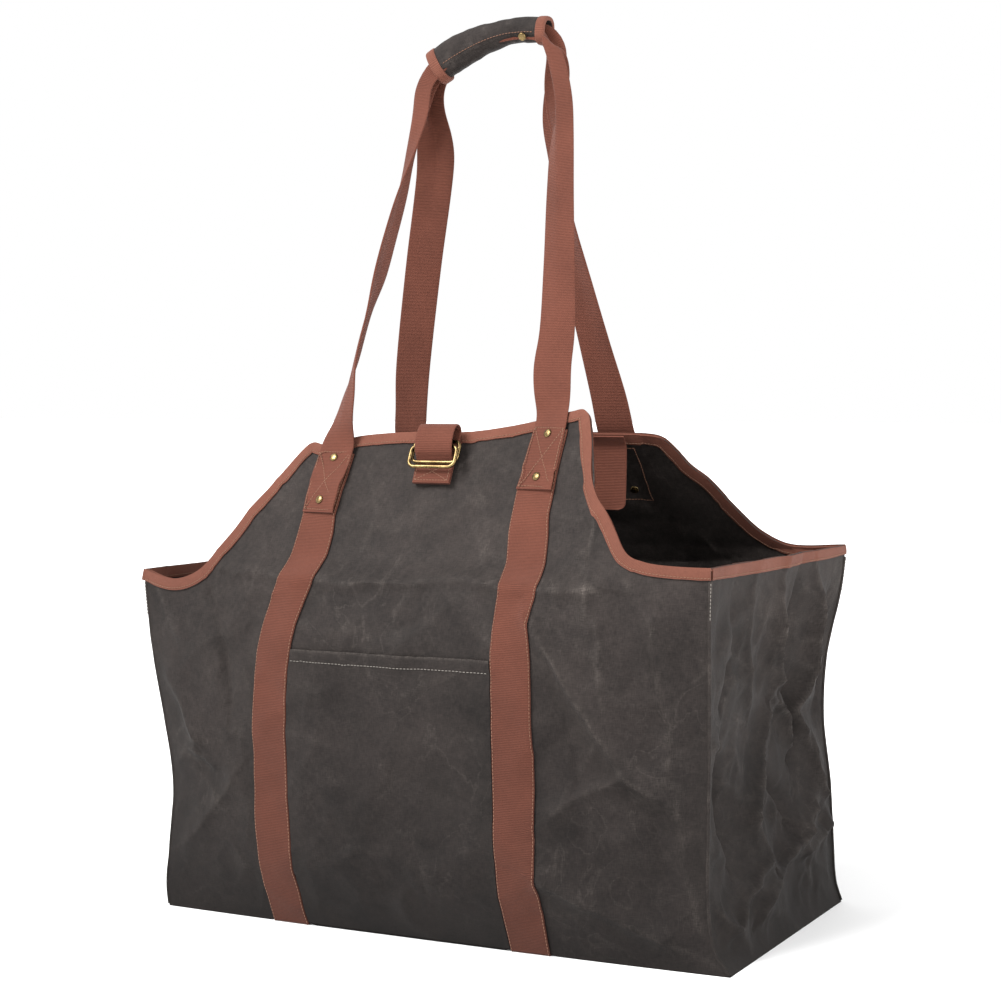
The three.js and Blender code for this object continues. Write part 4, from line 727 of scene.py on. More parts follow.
def tube_points(path, radius, sides):
    """Rings round a path in space: path + radius (cos a * side + sin a * up), with side and up square to its run."""
    run = np.gradient(path, axis=0)
    run /= np.linalg.norm(run, axis=1, keepdims=True)
    helper = np.array([1.0, 0.0, 0.0]) if abs(run[0, 0]) < 0.8 else np.array([0.0, 1.0, 0.0])
    across = np.cross(run, helper)
    across /= np.linalg.norm(across, axis=1, keepdims=True)
    up = np.cross(run, across)
    angle = np.linspace(0, 2 * math.pi, sides, endpoint=False)[:, None, None]
    radius = np.broadcast_to(radius, len(path))[None, :, None]
    return path[None] + radius * (np.cos(angle) * across[None] + np.sin(angle) * up[None])


def rod_faces(sides, count):
    """Quads of a rod whose rings are columns of a (side, ring) grid, closed by folding quads across each end."""
    ids = np.arange(sides * count).reshape(sides, count)
    round_ids = np.vstack([ids, ids[:1]])
    cells = np.stack([round_ids[:-1, :-1], round_ids[1:, :-1], round_ids[1:, 1:], round_ids[:-1, 1:]], -1)
    half = sides // 2
    caps = []
    for ring, turned in ((0, True), (count - 1, False)):
        edge = ids[:, ring]
        low = np.arange(half - 1)
        quads = np.stack([edge[low], edge[low + 1], edge[sides - 2 - low], edge[sides - 1 - low]], -1)
        caps.append(quads[:, ::-1] if turned else quads)
    return np.concatenate([cells.reshape(-1, 4), *caps])


for corner_name, side, corner in (("front_left", FRONT, "left"), ("front_right", FRONT, "right"),
                                  ("back_left", BACK, "left"), ("back_right", BACK, "right")):
    z = np.linspace(SEAM_ROLL, edge_height(side, seam_x(side, corner, RIM_HEIGHT)) - BINDING_DEPTH, SEAM_CELLS[1])
    x = seam_x(side, corner, z)
    path = np.stack([x, wall_y(side, x, z) - side["out"] * CANVAS / 2, z], -1)
    radius = SEAM_ROLL * (1 + 0.12 * cloud_noise(z, z * 0 + x, 14, 61))
    rings = tube_points(path, radius, SEAM_CELLS[0])
    worn = np.broadcast_to(0.12 + 0.3 * np.clip(cloud_noise(z, z * 0, 11, 62), 0, 1), rings.shape[:2])
    uv = np.stack(np.broadcast_arrays(np.arange(SEAM_CELLS[0])[:, None] * 1.1, z[None, :]), -1)
    new_piece(f"{corner_name}_seam", rings, rod_faces(*SEAM_CELLS), CANVAS_FINISH, (), uv, worn)


# Rim bindings. Brown twill tape folded over every cut edge of canvas and sewn through with one row
# of lighter thread near its lower edge, puckered a little where it turns.
BINDING = 1.2
BINDING_CELLS = 330
END_BINDING_CELLS = 110
TAPE_COLOUR = (0.175, 0.065, 0.043, 1)
TAPE_DARK = (0.078, 0.0275, 0.018, 1)
TAPE_RIB = 1.1
# Painted shade: the colour of the tape and the webbing is darkened towards the floor, to WEB_FLOOR_SHADE of itself at
# the floor and full at WEB_SHADE_HEIGHT metres up.
WEB_FLOOR_SHADE = 0.55
WEB_SHADE_HEIGHT = 0.45


def tape_finish(name, pale, dark, rib, cross, height):
    """Ribbed tape: ribs across its length at one pitch and threads along it at another, both in height and shade, with
    soft patches of noise on Object coordinates. Its colour is darkened towards the floor as painted shade."""
    material, tree, bsdf = shader(name, 0.85)
    place = add(tree, "ShaderNodeTexCoord")
    split = add(tree, "ShaderNodeSeparateXYZ", place.outputs["UV"])
    waves = []
    for axis, pitch in ((1, rib), (0, cross)):
        turns = math_node(tree, "MULTIPLY", split.outputs[axis], math.pi / (pitch * MM))
        waves.append(math_node(tree, "ABSOLUTE", math_node(tree, "SINE", turns)))
    weave = use_effect(tree, WEAVE, place.outputs["UV"], Across=0.8 * MM, Along=0.8 * MM)
    patches = add(tree, "ShaderNodeTexNoise", place.outputs["Object"], scale=26.0, detail=4.0)
    ribs = math_node(tree, "MULTIPLY", waves[0], math_node(tree, "ADD", math_node(tree, "MULTIPLY", waves[1], 0.35), 0.65))
    shade = math_node(tree, "ADD", math_node(tree, "MULTIPLY", ribs, 0.5),
                      math_node(tree, "MULTIPLY", weave.outputs["Grain"], 0.55))
    level = math_node(tree, "ADD", shade, math_node(tree, "MULTIPLY", patches.outputs["Fac"], 0.45))
    share = add(tree, "ShaderNodeMapRange", level, 0.35, 1.1)
    # Painted shade: the colour is scaled down towards the floor by the Object height.
    level = add(tree, "ShaderNodeSeparateXYZ", place.outputs["Object"]).outputs["Z"]
    low = add(tree, "ShaderNodeMapRange", level, 0.0, WEB_SHADE_HEIGHT, WEB_FLOOR_SHADE, 1.0)
    colour_with_painted_shade = add(tree, "ShaderNodeVectorMath", blend_colours(tree, share.outputs[0], dark, pale), operation="SCALE")
    tree.links.new(low.outputs[0], colour_with_painted_shade.inputs["Scale"])
    tree.links.new(colour_with_painted_shade.outputs[0], bsdf.inputs["Base Color"])
    bump = add(tree, "ShaderNodeBump", strength=0.6, distance=height * MM)
    tree.links.new(math_node(tree, "ADD", ribs, math_node(tree, "MULTIPLY", weave.outputs["Height"], 0.4)),
                   bump.inputs["Height"])
    tree.links.new(bump.outputs[0], bsdf.inputs["Normal"])
    bsdf.inputs["Specular IOR Level"].default_value = 0.15
    bsdf.inputs["Sheen Weight"].default_value = 0.06
    bsdf.inputs["Sheen Roughness"].default_value = 0.4
    return material


TAPE_FINISH = tape_finish("twill_tape", TAPE_COLOUR, TAPE_DARK, TAPE_RIB, 0.9, 0.3)


def fold_profile(depth, thickness, steps=5):
    """Folded tape over an edge as (drop, distance out) pairs on its outer and inner skins: up one leg, round the canvas edge
    in a half circle, and down the other."""
    middle = -CANVAS / 2
    skins = []
    for skin in (GAP + thickness, GAP):
        reach = CANVAS / 2 + skin
        leg = np.linspace(depth, 0, steps + 1)[:-1]
        turn = np.linspace(0, math.pi, 2 * steps + 1)
        drops = np.concatenate([leg, -np.sin(turn) * reach * 0.75, leg[::-1]])
        outs = np.concatenate([np.full(steps, middle + reach), middle + np.cos(turn) * reach, np.full(steps, middle - reach)])
        skins.append(np.stack([drops, outs], -1))
    return skins


def binding_piece(name, edge, inward, normal_at, depth_scale, nodes):
    """Sweep of the folded profile along an edge: edge points, the direction down the cloth, and a function giving the point
    at a drop below the edge. Puckers are noise along the length."""
    count = len(edge)
    grids = []
    length = np.concatenate([[0], np.cumsum(np.linalg.norm(np.diff(edge, axis=0), axis=1))])
    pucker = 0.35 * cloud_noise(length, length * 0, 7, 71) + 0.35 * cloud_noise(length, length * 0, 23, 72)
    for skin in fold_profile(BINDING_DEPTH, BINDING):
        rows = []
        for drop, out in skin:
            below = max(drop, 0.0)
            wavy = below * (1 + 0.05 * pucker) + 0.4 * pucker * (below > BINDING_DEPTH * 0.6)
            points, normals = normal_at(wavy * depth_scale)
            swell = out + np.sign(out + CANVAS / 2) * (0.22 * (1 + pucker)) * (0.3 < below) * (below < BINDING_DEPTH * 0.9)
            points = points + normals * np.reshape(swell, (-1, 1)) - inward * min(drop, 0.0)
            rows.append(points)
        grids.append(np.stack(rows))
    across = np.concatenate([[0], np.cumsum(np.linalg.norm(np.diff(grids[0][:, count // 2], axis=0), axis=1))])
    uv = np.stack(np.meshgrid(across, length, indexing="ij"), -1)
    sheet_piece(name, grids[0], grids[1], TAPE_FINISH, nodes, uv)


def rim_line(side, cells, trim=0.0):
    """x and z along a big panel's top edge, with the direction down the cloth in x and z, scaled to real length."""
    share = np.linspace(0, 1, cells + 1)
    left, right = seam_x(side, "left", RIM_HEIGHT) + trim, seam_x(side, "right", RIM_HEIGHT) - trim
    x = left + (right - left) * share
    x = x + 0 * share
    z = edge_height(side, x)
    chord = np.concatenate([[0], np.cumsum(np.hypot(np.diff(x), np.diff(z)))])
    even = np.linspace(0, chord[-1], cells + 1)
    x = np.interp(even, chord, x)
    z = edge_height(side, x)
    run = np.stack([np.gradient(x), np.gradient(z)], -1)
    run /= np.linalg.norm(run, axis=1, keepdims=True)
    down = np.stack([run[:, 1], -run[:, 0]], -1)
    return x, z, down


RIM_TRIM = -0.6
rim_paths = {}
for panel_name, side in (("front", FRONT), ("back", BACK)):
    x, z, down = rim_line(side, BINDING_CELLS, RIM_TRIM)
    edge = on_wall(side, x, z)
    below = on_wall(side, x + down[:, 0], z + down[:, 1])
    inward = below - edge
    scale = 1 / np.linalg.norm(inward, axis=1)
    inward *= scale[:, None]

    def below_edge(drop, side=side, x=x, z=z, down=down):
        return wall_frame(side, x + down[:, 0] * drop, z + down[:, 1] * drop)

    binding_piece(f"{panel_name}_rim_tape", edge, inward, below_edge, scale, [f"{panel_name}_rim_binding"])
    rim_paths[panel_name] = (below_edge, scale)

for end_name, end in (("right", RIGHT), ("left", LEFT)):
    narrow = 0.0
    place = np.linspace(narrow, 1 - narrow, END_BINDING_CELLS + 1)
    z = end_top(end, place)
    edge = end_frame(end, place, z)[0]
    inward = end_frame(end, place, z - 2)[0] - edge
    scale = 2 / np.linalg.norm(inward, axis=1)
    inward *= scale[:, None] / 2

    def below_edge(drop, end=end, place=place, z=z):
        return end_frame(end, place, z - drop)

    binding_piece(f"{end_name}_rim_tape", edge, inward, below_edge, scale, [f"{end_name}_rim_binding"])
    rim_paths[end_name] = (below_edge, scale)


# Webbing straps. Heavy ribbed cotton webbing sewn on in one length each: down the front, under the
# base and up the back, with a row of stitches along both edges.
WEB_PALE = (0.14, 0.046, 0.029, 1)
WEB_DARK = (0.056, 0.0178, 0.0112, 1)
WEB_RIB = 1.5
STRAP_STOP = BINDING_DEPTH + 4 * GAP
STRAP_ACROSS = np.array([-19, -18.6, -17.8, -15, -10, -5, 0, 5, 10, 15, 17.8, 18.6, 19.0])
STRAP_ROWS = 120
FLOOR_ROWS = 30
WEB_FINISH = tape_finish("ribbed_webbing", WEB_PALE, WEB_DARK, WEB_RIB, 1.3, 0.5)


def half_thickness(across, thickness=WEBBING):
    """Half the webbing's thickness, rounded off over its last millimetre at both edges as a quarter circle."""
    over = np.clip((np.abs(across) - (STRAP_WIDTH / 2 - 1.0)) / 1.05, 0, 1)
    return thickness / 2 * np.sqrt(1 - over**2)


def strap_wall(side, corner, out):
    """Points and normals of a body strap on one wall, from the floor to below the binding: columns across, rows up."""
    top = edge_height(side, strap_x(side, corner, PANEL_HEIGHT)) - STRAP_STOP
    z = np.linspace(3.0, top, STRAP_ROWS)[None, :]
    x, z = np.broadcast_arrays(strap_x(side, corner, z) + STRAP_ACROSS[:, None], z)
    points, normals = wall_frame(side, x, z)
    return points + normals * out, normals


def corner_turn(foot, out):
    """Quarter circle from the foot of a wall strap to the floor: drop (1 - cos a), inward run sin a, centre line at half the
    webbing's thickness."""
    radius = foot[..., 2] - WEBBING / 2
    angle = np.linspace(0, math.pi / 2, 6)[1:]
    points, normals = [], []
    for a in angle:
        point = foot.copy()
        point[..., 1] -= out * radius * (1 - math.cos(a))
        point[..., 2] -= radius * math.sin(a)
        points.append(point)
        normals.append(np.broadcast_to([0, out * math.cos(a), -math.sin(a)], foot.shape))
    return np.stack(points, 1), np.stack(normals, 1)


strap_stitch_paths = []
for corner in ("left", "right"):
    near, near_normals = strap_wall(FRONT, corner, GAP + WEBBING / 2)
    far, far_normals = strap_wall(BACK, corner, GAP + WEBBING / 2)
    near_turn, near_turn_normals = corner_turn(near[:, 0], FRONT["out"])
    far_turn, far_turn_normals = corner_turn(far[:, 0], BACK["out"])
    share = np.linspace(0, 1, FLOOR_ROWS + 2)[None, 1:-1, None]
    floor = near_turn[:, -1:] * (1 - share) + far_turn[:, -1:] * share
    floor_normals = np.broadcast_to([0.0, 0.0, -1.0], floor.shape)
    centre = np.concatenate([near[:, ::-1], near_turn, floor, far_turn[:, ::-1], far], 1)
    normal = np.concatenate([near_normals[:, ::-1], near_turn_normals, floor_normals,
                             far_turn_normals[:, ::-1], far_normals], 1)
    normal = normal / np.linalg.norm(normal, axis=-1, keepdims=True)
    half = half_thickness(STRAP_ACROSS)[:, None, None]
    length = np.concatenate([[0], np.cumsum(np.linalg.norm(np.diff(centre[6], axis=0), axis=1))])
    uv = np.stack(np.meshgrid(STRAP_ACROSS, length, indexing="ij"), -1)
    sheet_piece(f"{corner}_body_webbing", centre + normal * half, centre - normal * half, WEB_FINISH,
                [f"{corner}_body_strap"], uv)
    for column in (2, 10):
        strap_stitch_paths.append((centre[column] + normal[column] * WEBBING / 2, normal[column]))


# Lining patches. Short squares of the same webbing inside the bag behind three ends of the handles.
# The fourth, at the back right, is loose: it lies over the binding and hangs down from its foot.
LINING_LAP = 62.0
LINING_ROWS = 40
LINING_LAYER = -CANVAS - GAP - WEBBING / 2


def lap_grid(side, corner, drops, rows):
    """x and z of webbing laid over a strap near the panel's edge, between two drops below the edge."""
    share = np.linspace(0, 1, rows)[None, :]
    middle = strap_x(side, corner, PANEL_HEIGHT)
    top = edge_height(side, middle)
    z = top - drops[0] + (drops[0] - drops[1]) * share
    x = strap_x(side, corner, z) + STRAP_ACROSS[:, None]
    return np.broadcast_arrays(x, z)


for panel_name, side, corner in (("front", FRONT, "left"), ("front", FRONT, "right"), ("back", BACK, "left")):
    x, z = lap_grid(side, corner, (STRAP_STOP + LINING_LAP, STRAP_STOP), LINING_ROWS)
    points, normals = wall_frame(side, x, z)
    centre = points + normals * LINING_LAYER
    half = half_thickness(STRAP_ACROSS)[:, None, None]
    uv = np.stack(np.broadcast_arrays(STRAP_ACROSS[:, None], z), -1)
    name = f"{panel_name}_{corner}_lining"
    sheet_piece(f"{name}_webbing", centre + normals * half, centre - normals * half, WEB_FINISH,
                [f"{name}_patch"], uv)

FLAP_LAYER = -CANVAS - 2 * GAP - BINDING - WEBBING / 2 - 0.3
FLAP_CORNER = 7.0
FLAP_SHIFT = -7.0
FLAP_ROWS = 48
middle = strap_x(BACK, "right", PANEL_HEIGHT) + FLAP_SHIFT
top = edge_height(BACK, middle)
bend, bend_normal = wall_frame(BACK, middle, top - BINDING_DEPTH)
edge, edge_normal = wall_frame(BACK, middle, top)
bend, edge = bend + bend_normal * FLAP_LAYER, edge + edge_normal * FLAP_LAYER
length = np.linspace(-BINDING_DEPTH, LINING_LAP, FLAP_ROWS)
turn = 1 / (1 + np.exp(-length / 1.6))
tilt = (edge - bend) / BINDING_DEPTH
hung = np.array([0.0, 0.0, -1.0])
way = -tilt * (1 - turn)[:, None] + hung * turn[:, None]
way /= np.linalg.norm(way, axis=1, keepdims=True)
path = edge + np.concatenate([[np.zeros(3)], np.cumsum((way[1:] + way[:-1]) / 2 * np.diff(length)[:, None], 0)])
curl = 3.0 * np.clip(length / LINING_LAP, 0, 1) ** 2
cut = np.clip((length - LINING_LAP + FLAP_CORNER) / FLAP_CORNER, 0, 1)
narrow = 1 - FLAP_CORNER / (STRAP_WIDTH / 2) * (1 - np.sqrt(1 - cut**2))
across = STRAP_ACROSS[:, None] * narrow
bowed = curl[None, :] * (STRAP_ACROSS[:, None] / 19) ** 2
centre = path[None] + np.array([1.0, 0, 0]) * across[..., None] - np.array([0, 1.0, 0]) * bowed[..., None]
out = np.stack([np.zeros(FLAP_ROWS), -way[:, 2], way[:, 1]], -1)[None]
half = half_thickness(STRAP_ACROSS)[:, None, None]
uv = np.stack(np.broadcast_arrays(STRAP_ACROSS[:, None], length[None, :]), -1)
loose = sheet_piece("back_right_lining_webbing", centre + out * half, centre - out * half, WEB_FINISH,
                    ["back_right_lining_patch"], uv)


# Handles. Two long pieces of webbing, one from each big panel: sewn over the body straps with a
# boxed cross, free and twisting up to the grip, doubled lengthwise inside it and down again.
HANDLE_LAP = 54.0
GRIP_SETBACK = 137.0
GRIP_HEIGHT = 827.0
GRIP_LENGTH = 118.0
GRIP_TALL = 30.0
GRIP_DEEP = 23.0
GRIP_DROP = 30.0
GRIP_MIDDLE = 0.46
GRIP_PLACES = (0, 0.18, 0.4, 0.62, 0.82, 1)
GRIP_SINKS = (0.95, 0.57, 0.23, 0.03, 0, 0.06)
GRIP_SHARES = (1.1, 1.12, 1.0, 0.84, 0.8, 0.84)
HANDLE_LIFT = 3 * GAP + WEBBING * 1.5
HANDLE_SPLIT = 4.0
HANDLE_ACROSS = np.array([-19, -18.6, -17.8, -15.5, -12, -8, -4.5, -2, 0, 2, 4.5, 8, 12, 15.5, 17.8, 18.6, 19.0])
LAP_ROWS = 26
FREE_ROWS = 110
GRIP_ROWS = 30
CREST = 2.6
GRIP_Y = GRIP_SETBACK - HALF_DEPTH

# Runs from the panel's edge up to the grip: share of the climb, sideways bow, angle of the width, and
# how far the webbing is doubled over lengthwise.
RUNS = {
    "front_left": ((0, 0, -12, 0), (0.05, -0.004, -34, 0.05), (0.125, -0.008, -45, 0.08), (0.206, -0.01, -62, 0.08),
                   (0.284, -0.01, -64, 0.08), (0.365, -0.006, -66, 0.06), (0.443, 0.002, -77, 0.06),
                   (0.55, 0.006, -78, 0.06), (0.68, 0.012, -74, 0.12), (0.8, 0.014, -60, 0.3),
                   (0.92, 0.016, -60, 0.6), (1, 0, -84, 0.9)),
    "front_right": ((0, 0, -22, 0), (0.05, -0.004, -6, 0), (0.13, -0.004, -2, 0), (0.21, 0.015, -8, 0.03),
                    (0.4, 0.022, -18, 0.08), (0.6, 0.026, -25, 0.12), (0.75, 0.031, -32, 0.25),
                    (0.85, 0.042, -52, 0.5), (0.94, 0.028, -76, 0.8), (1, 0, -88, 0.92)),
    "back_left": ((0, 0, 0, 0), (0.06, 0, -6, 0.03), (0.2, -0.007, 2, 0), (0.5, 0.011, 6, 0), (0.7, 0.032, 9, 0.05),
                  (0.79, 0.036, 12, 0.12), (0.86, 0.022, 30, 0.4), (0.93, -0.002, 62, 0.7), (1, 0, 86, 0.9)),
    "back_right": ((0, 0, 3, 0), (0.08, -0.006, -1, 0), (0.22, -0.032, -14, 0.05), (0.42, -0.069, -26, 0.08),
                   (0.55, -0.085, -38, 0.12), (0.7, -0.086, -50, 0.2), (0.82, -0.09, -56, 0.4),
                   (0.93, -0.045, -72, 0.75), (1, 0, -86, 0.9)),
}


def grip_point(along):
    """Middle of the grip at a share of its length, on a line that sags towards the left end."""
    along = np.asarray(along, float)
    z = GRIP_HEIGHT - smooth(GRIP_PLACES, GRIP_SINKS, along) * GRIP_DROP
    return np.stack([(along - GRIP_MIDDLE) * GRIP_LENGTH, np.full_like(z, GRIP_Y), z], -1)


def grip_up(along):
    """Direction square to the grip's line, in its own upright plane."""
    along = np.asarray(along, float)
    ahead = grip_point(np.minimum(along + 0.02, 1)) - grip_point(np.maximum(along - 0.02, 0))
    up = np.stack([-ahead[..., 2], np.zeros_like(ahead[..., 0]), ahead[..., 0]], -1)
    return up / np.linalg.norm(up, axis=-1, keepdims=True)


def free_run(run, start, end, facing):
    """Stations of a free run: centre on the line from start to end plus its bow, width at the run's angle, fold share."""
    rises, bows, turns, folds = np.array(run, float).T
    rise = np.linspace(0, 1, FREE_ROWS + 1)[1:]
    centre = start + (end - start) * rise[:, None]
    centre[:, 0] += smooth(rises, bows, rise) * STRAP_SPACING
    turn = np.radians(smooth(rises, turns, rise))
    flat = np.zeros_like(turn)
    wide = np.stack([np.cos(turn), np.sin(turn), flat], -1)
    out = np.stack([facing * np.sin(turn), -facing * np.cos(turn), flat], -1)
    return centre, wide, out, smooth(rises, folds, rise)


def lap_stations(side, corner):
    """Stations of the sewn end of a handle, from its cut end up to the panel's edge."""
    middle = strap_x(side, corner, PANEL_HEIGHT)
    top = edge_height(side, middle)
    z = np.linspace(top - STRAP_STOP - HANDLE_LAP, top, LAP_ROWS)
    x = strap_x(side, corner, z)
    points, normals = wall_frame(side, x, z)
    sides = on_wall(side, x + 6, z) - on_wall(side, x - 6, z)
    wide = sides / np.linalg.norm(sides, axis=1, keepdims=True)
    return points + normals * HANDLE_LIFT, wide, normals, np.zeros(LAP_ROWS)


def settle(stations, keep, passes=14):
    """Eases the corners of a run of stations: each becomes the mean of itself and its neighbours, some passes, except the
    kept ones. Widths and normals are made unit length and square again."""
    centre, wide, out, fold = (np.array(part, float) for part in stations)
    for _ in range(passes):
        for part in (centre, wide, out):
            mean = (part[:-2] + part[2:] + 2 * part[1:-1]) / 4
            part[1:-1] = np.where(keep[1:-1, None], part[1:-1], mean)
    wide /= np.linalg.norm(wide, axis=1, keepdims=True)
    out -= wide * np.sum(out * wide, axis=1, keepdims=True)
    out /= np.linalg.norm(out, axis=1, keepdims=True)
    return centre, wide, out, fold


def webbing_surface(stations, across, offset):
    """Webbing bent lengthwise: the leg angle at s is fold * 90 degrees * tanh(s / CREST), integrated from the crest, so the
    edge at s lies at the sum of (cos, -|sin|) ds. Offset moves it along its own normal."""
    centre, wide, out, fold = stations
    fine = np.linspace(-19, 19, 153)
    angle = np.radians(90) * fold[None, :] * np.tanh(fine / CREST)[:, None]
    step = fine[1] - fine[0]
    run = np.cumsum(np.cos(angle), 0) * step
    dip = -np.cumsum(np.sin(angle), 0) * step
    half = len(fine) // 2
    run -= run[half]
    dip -= dip[half]
    crest = np.sin(np.radians(90) * fold) * STRAP_WIDTH / 4
    index = np.searchsorted(fine, np.clip(across, -19, 19 - 1e-9))
    lean = angle[index]
    place = (centre[None] + wide[None] * run[index][..., None] + out[None] * (dip[index] + crest[None])[..., None])
    normal = wide[None] * np.sin(lean)[..., None] + out[None] * np.cos(lean)[..., None]
    return place + normal * np.reshape(offset, (len(across), 1, 1)), normal


def handle_stations(side, panel_name, shift, facing):
    """All stations of one handle from its left sewn end to its right one, widths running left to right throughout."""
    left_lap, right_lap = lap_stations(side, "left"), lap_stations(side, "right")
    tail = GRIP_TALL * 0.42
    left_foot = grip_point(0.0) + np.array([-tail * 0.6, 2 * shift, -tail])
    right_foot = grip_point(1.0) + np.array([tail * 0.7, 2 * shift, -tail])
    up = free_run(RUNS[f"{panel_name}_left"], left_lap[0][-1], left_foot, facing)
    down = free_run(RUNS[f"{panel_name}_right"], right_lap[0][-1], right_foot, facing)
    along = np.linspace(0, 1, GRIP_ROWS)
    inside = (grip_point(along) + np.array([0, shift, 0]), np.broadcast_to([0.0, -facing, 0.0], (GRIP_ROWS, 3)),
              grip_up(along), np.full(GRIP_ROWS, 0.955))
    turned = [(c[::-1], -w[::-1], o[::-1], f[::-1]) for c, w, o, f in (down, right_lap)]
    parts = (left_lap, up, inside, *turned)
    joined = [np.concatenate([part[k] for part in parts]) for k in range(4)]
    count = len(joined[0])
    keep = np.zeros(count, bool)
    keep[:LAP_ROWS - 3] = True
    keep[count - LAP_ROWS + 3:] = True
    return settle(joined, keep)


handle_stitch_paths = []
for panel_name, side, shift, facing in (("front", FRONT, -HANDLE_SPLIT, 1), ("back", BACK, HANDLE_SPLIT, -1)):
    stations = handle_stations(side, panel_name, shift, facing)
    half = half_thickness(HANDLE_ACROSS)
    outer, normal = webbing_surface(stations, HANDLE_ACROSS, half)
    inner, _ = webbing_surface(stations, HANDLE_ACROSS, -half)
    length = np.concatenate([[0], np.cumsum(np.linalg.norm(np.diff(stations[0], axis=0), axis=1))])
    uv = np.stack(np.meshgrid(HANDLE_ACROSS, length, indexing="ij"), -1)
    sheet_piece(f"{panel_name}_handle_webbing", outer, inner, WEB_FINISH, [f"{panel_name}_handle"], uv)


# Grip. A strip of canvas wrapped round both handles and closed along its lower front edge, its two
# ends bound with tape, held by one brass press stud at the right.
GRIP_ROUND = 0.8
GRIP_BINDING = 8.0
GRIP_CELLS = (72, 80)
FLAP_ANGLE = 1.95
GRIP_FOLDS = [
    (((4, 2.2), (40, 1.5), (84, 1.1)), 0.5, 5, 0.3),
    (((20, 0.6), (50, 0.9), (100, 0.4)), 0.5, 6, 0.3),
]


def grip_surface(along, angle, grow):
    """Squashed tube round the grip's line: sine and cosine raised to 0.8 times its half height and depth, plus growth."""
    centre, up = grip_point(along), grip_up(along)
    half_tall = smooth(GRIP_PLACES, GRIP_SHARES, along) * GRIP_TALL / 2
    tall = (half_tall + grow) * np.sign(np.cos(angle)) * np.abs(np.cos(angle)) ** GRIP_ROUND
    deep = (GRIP_DEEP / 2 + grow) * np.sign(np.sin(angle)) * np.abs(np.sin(angle)) ** GRIP_ROUND
    return centre + up * tall[..., None] + np.array([0.0, -1.0, 0.0]) * deep[..., None]


def grip_ring(start, end, cells, growth):
    """Grid of points round and along the grip between two shares of its length."""
    angle = np.linspace(0, 2 * math.pi, cells[0], endpoint=False)[:, None]
    along = np.linspace(start, end, cells[1])[None, :]
    angle, along = np.broadcast_arrays(angle, along)
    return grip_surface(along, angle, growth(angle, along)), angle, along


def wrap_growth(angle, along):
    """The overlapping flap is one cloth higher from the top round to its edge, and the cloth ripples a little."""
    flap = 1.5 / (1 + np.exp((angle - FLAP_ANGLE) * 26)) * (angle > 0.15)
    ripple = 0.55 * cloud_noise(along * GRIP_LENGTH, angle * 12, 12, 81) + 0.3 * cloud_noise(along * GRIP_LENGTH, angle * 12, 5, 82)
    return ripple + flap - 1.4


outer, angle, along = grip_ring(0, 1, GRIP_CELLS, wrap_growth)
inner, _, _ = grip_ring(0, 1, GRIP_CELLS, lambda a, s: wrap_growth(a, s) - CANVAS)
uv = np.stack([along * GRIP_LENGTH, angle * 13], -1)
worn = np.clip(0.18 * np.clip(cloud_noise(along * GRIP_LENGTH, angle * 13, 8, 83), 0, 1)
               + 0.3 * np.exp(-(((angle - FLAP_ANGLE) / 0.06) ** 2)), 0, 1)
sheet_piece("grip_wrap_cloth", outer, inner, CANVAS_FINISH, ["grip_wrap"], uv, worn, closed=True)

band = GRIP_BINDING / GRIP_LENGTH
for band_name, start, end in (("left", -0.006, band), ("right", 1 - band, 1.006)):
    rounded = lambda a, s, start=start, end=end: (GAP + BINDING) * (
        0.2 + 0.5 * np.sqrt(np.clip(1 - (2 * (s - start) / (end - start) - 1) ** 4, 0, 1)))
    outer, angle, along = grip_ring(start, end, (72, 12), rounded)
    inner, _, _ = grip_ring(start, end, (72, 12), lambda a, s: a * 0 - CANVAS - 1.0)
    uv = np.stack([along * GRIP_LENGTH, angle * 13], -1)
    sheet_piece(f"grip_{band_name}_tape", outer, inner, TAPE_FINISH, [f"grip_{band_name}_binding"], uv,
                closed=True)


# Ring tab. A short loop of webbing sewn to the middle of the front edge with a boxed cross; it
# folds back over the rings and down to its patch.
TAB_PATCH = 22.0
TAB_LOOP = 31.0
TAB_STAND = 14.0
TAB_X = -1.0
TAB_BACK = 3 * GAP + BINDING + WEBBING / 2
TAB_FRONT = TAB_BACK + WEBBING + GAP
TAB_ROWS = 90

# The loop's path: rise as a share of the loop, then stand-off as a share of the stand.
TAB_LINE = [(-1.71, 0.0), (-1.35, 0.0), (-1.0, 0.0), (-0.5, 0.0), (-0.06, 0.0), (0.05, 0.16), (0.085, 0.4),
            (0.05, 0.7), (-0.1, 0.93), (-0.32, 1.0), (-0.55, 0.97), (-0.78, 0.74), (-0.92, 0.36),
            (-1.04, 0.16), (-1.3, 0.15), (-1.71, 0.15)]

tab_top = float(edge_height(FRONT, TAB_X))
tab_edge = on_wall(FRONT, TAB_X, tab_top)
tab_low = on_wall(FRONT, TAB_X, tab_top - TAB_LOOP - TAB_PATCH)
TAB_UP = (tab_edge - tab_low) / np.linalg.norm(tab_edge - tab_low)
TAB_OUT = np.cross([1.0, 0.0, 0.0], TAB_UP)


def tab_point(across, rise, stand):
    """Point in the tab's own plane: across the bag, up along the panel from its edge, and out from it."""
    across, rise, stand = (np.asarray(part, float)[..., None] for part in np.broadcast_arrays(across, rise, stand))
    return tab_edge + TAB_UP * rise + TAB_OUT * stand + np.array([1.0, 0.0, 0.0]) * across


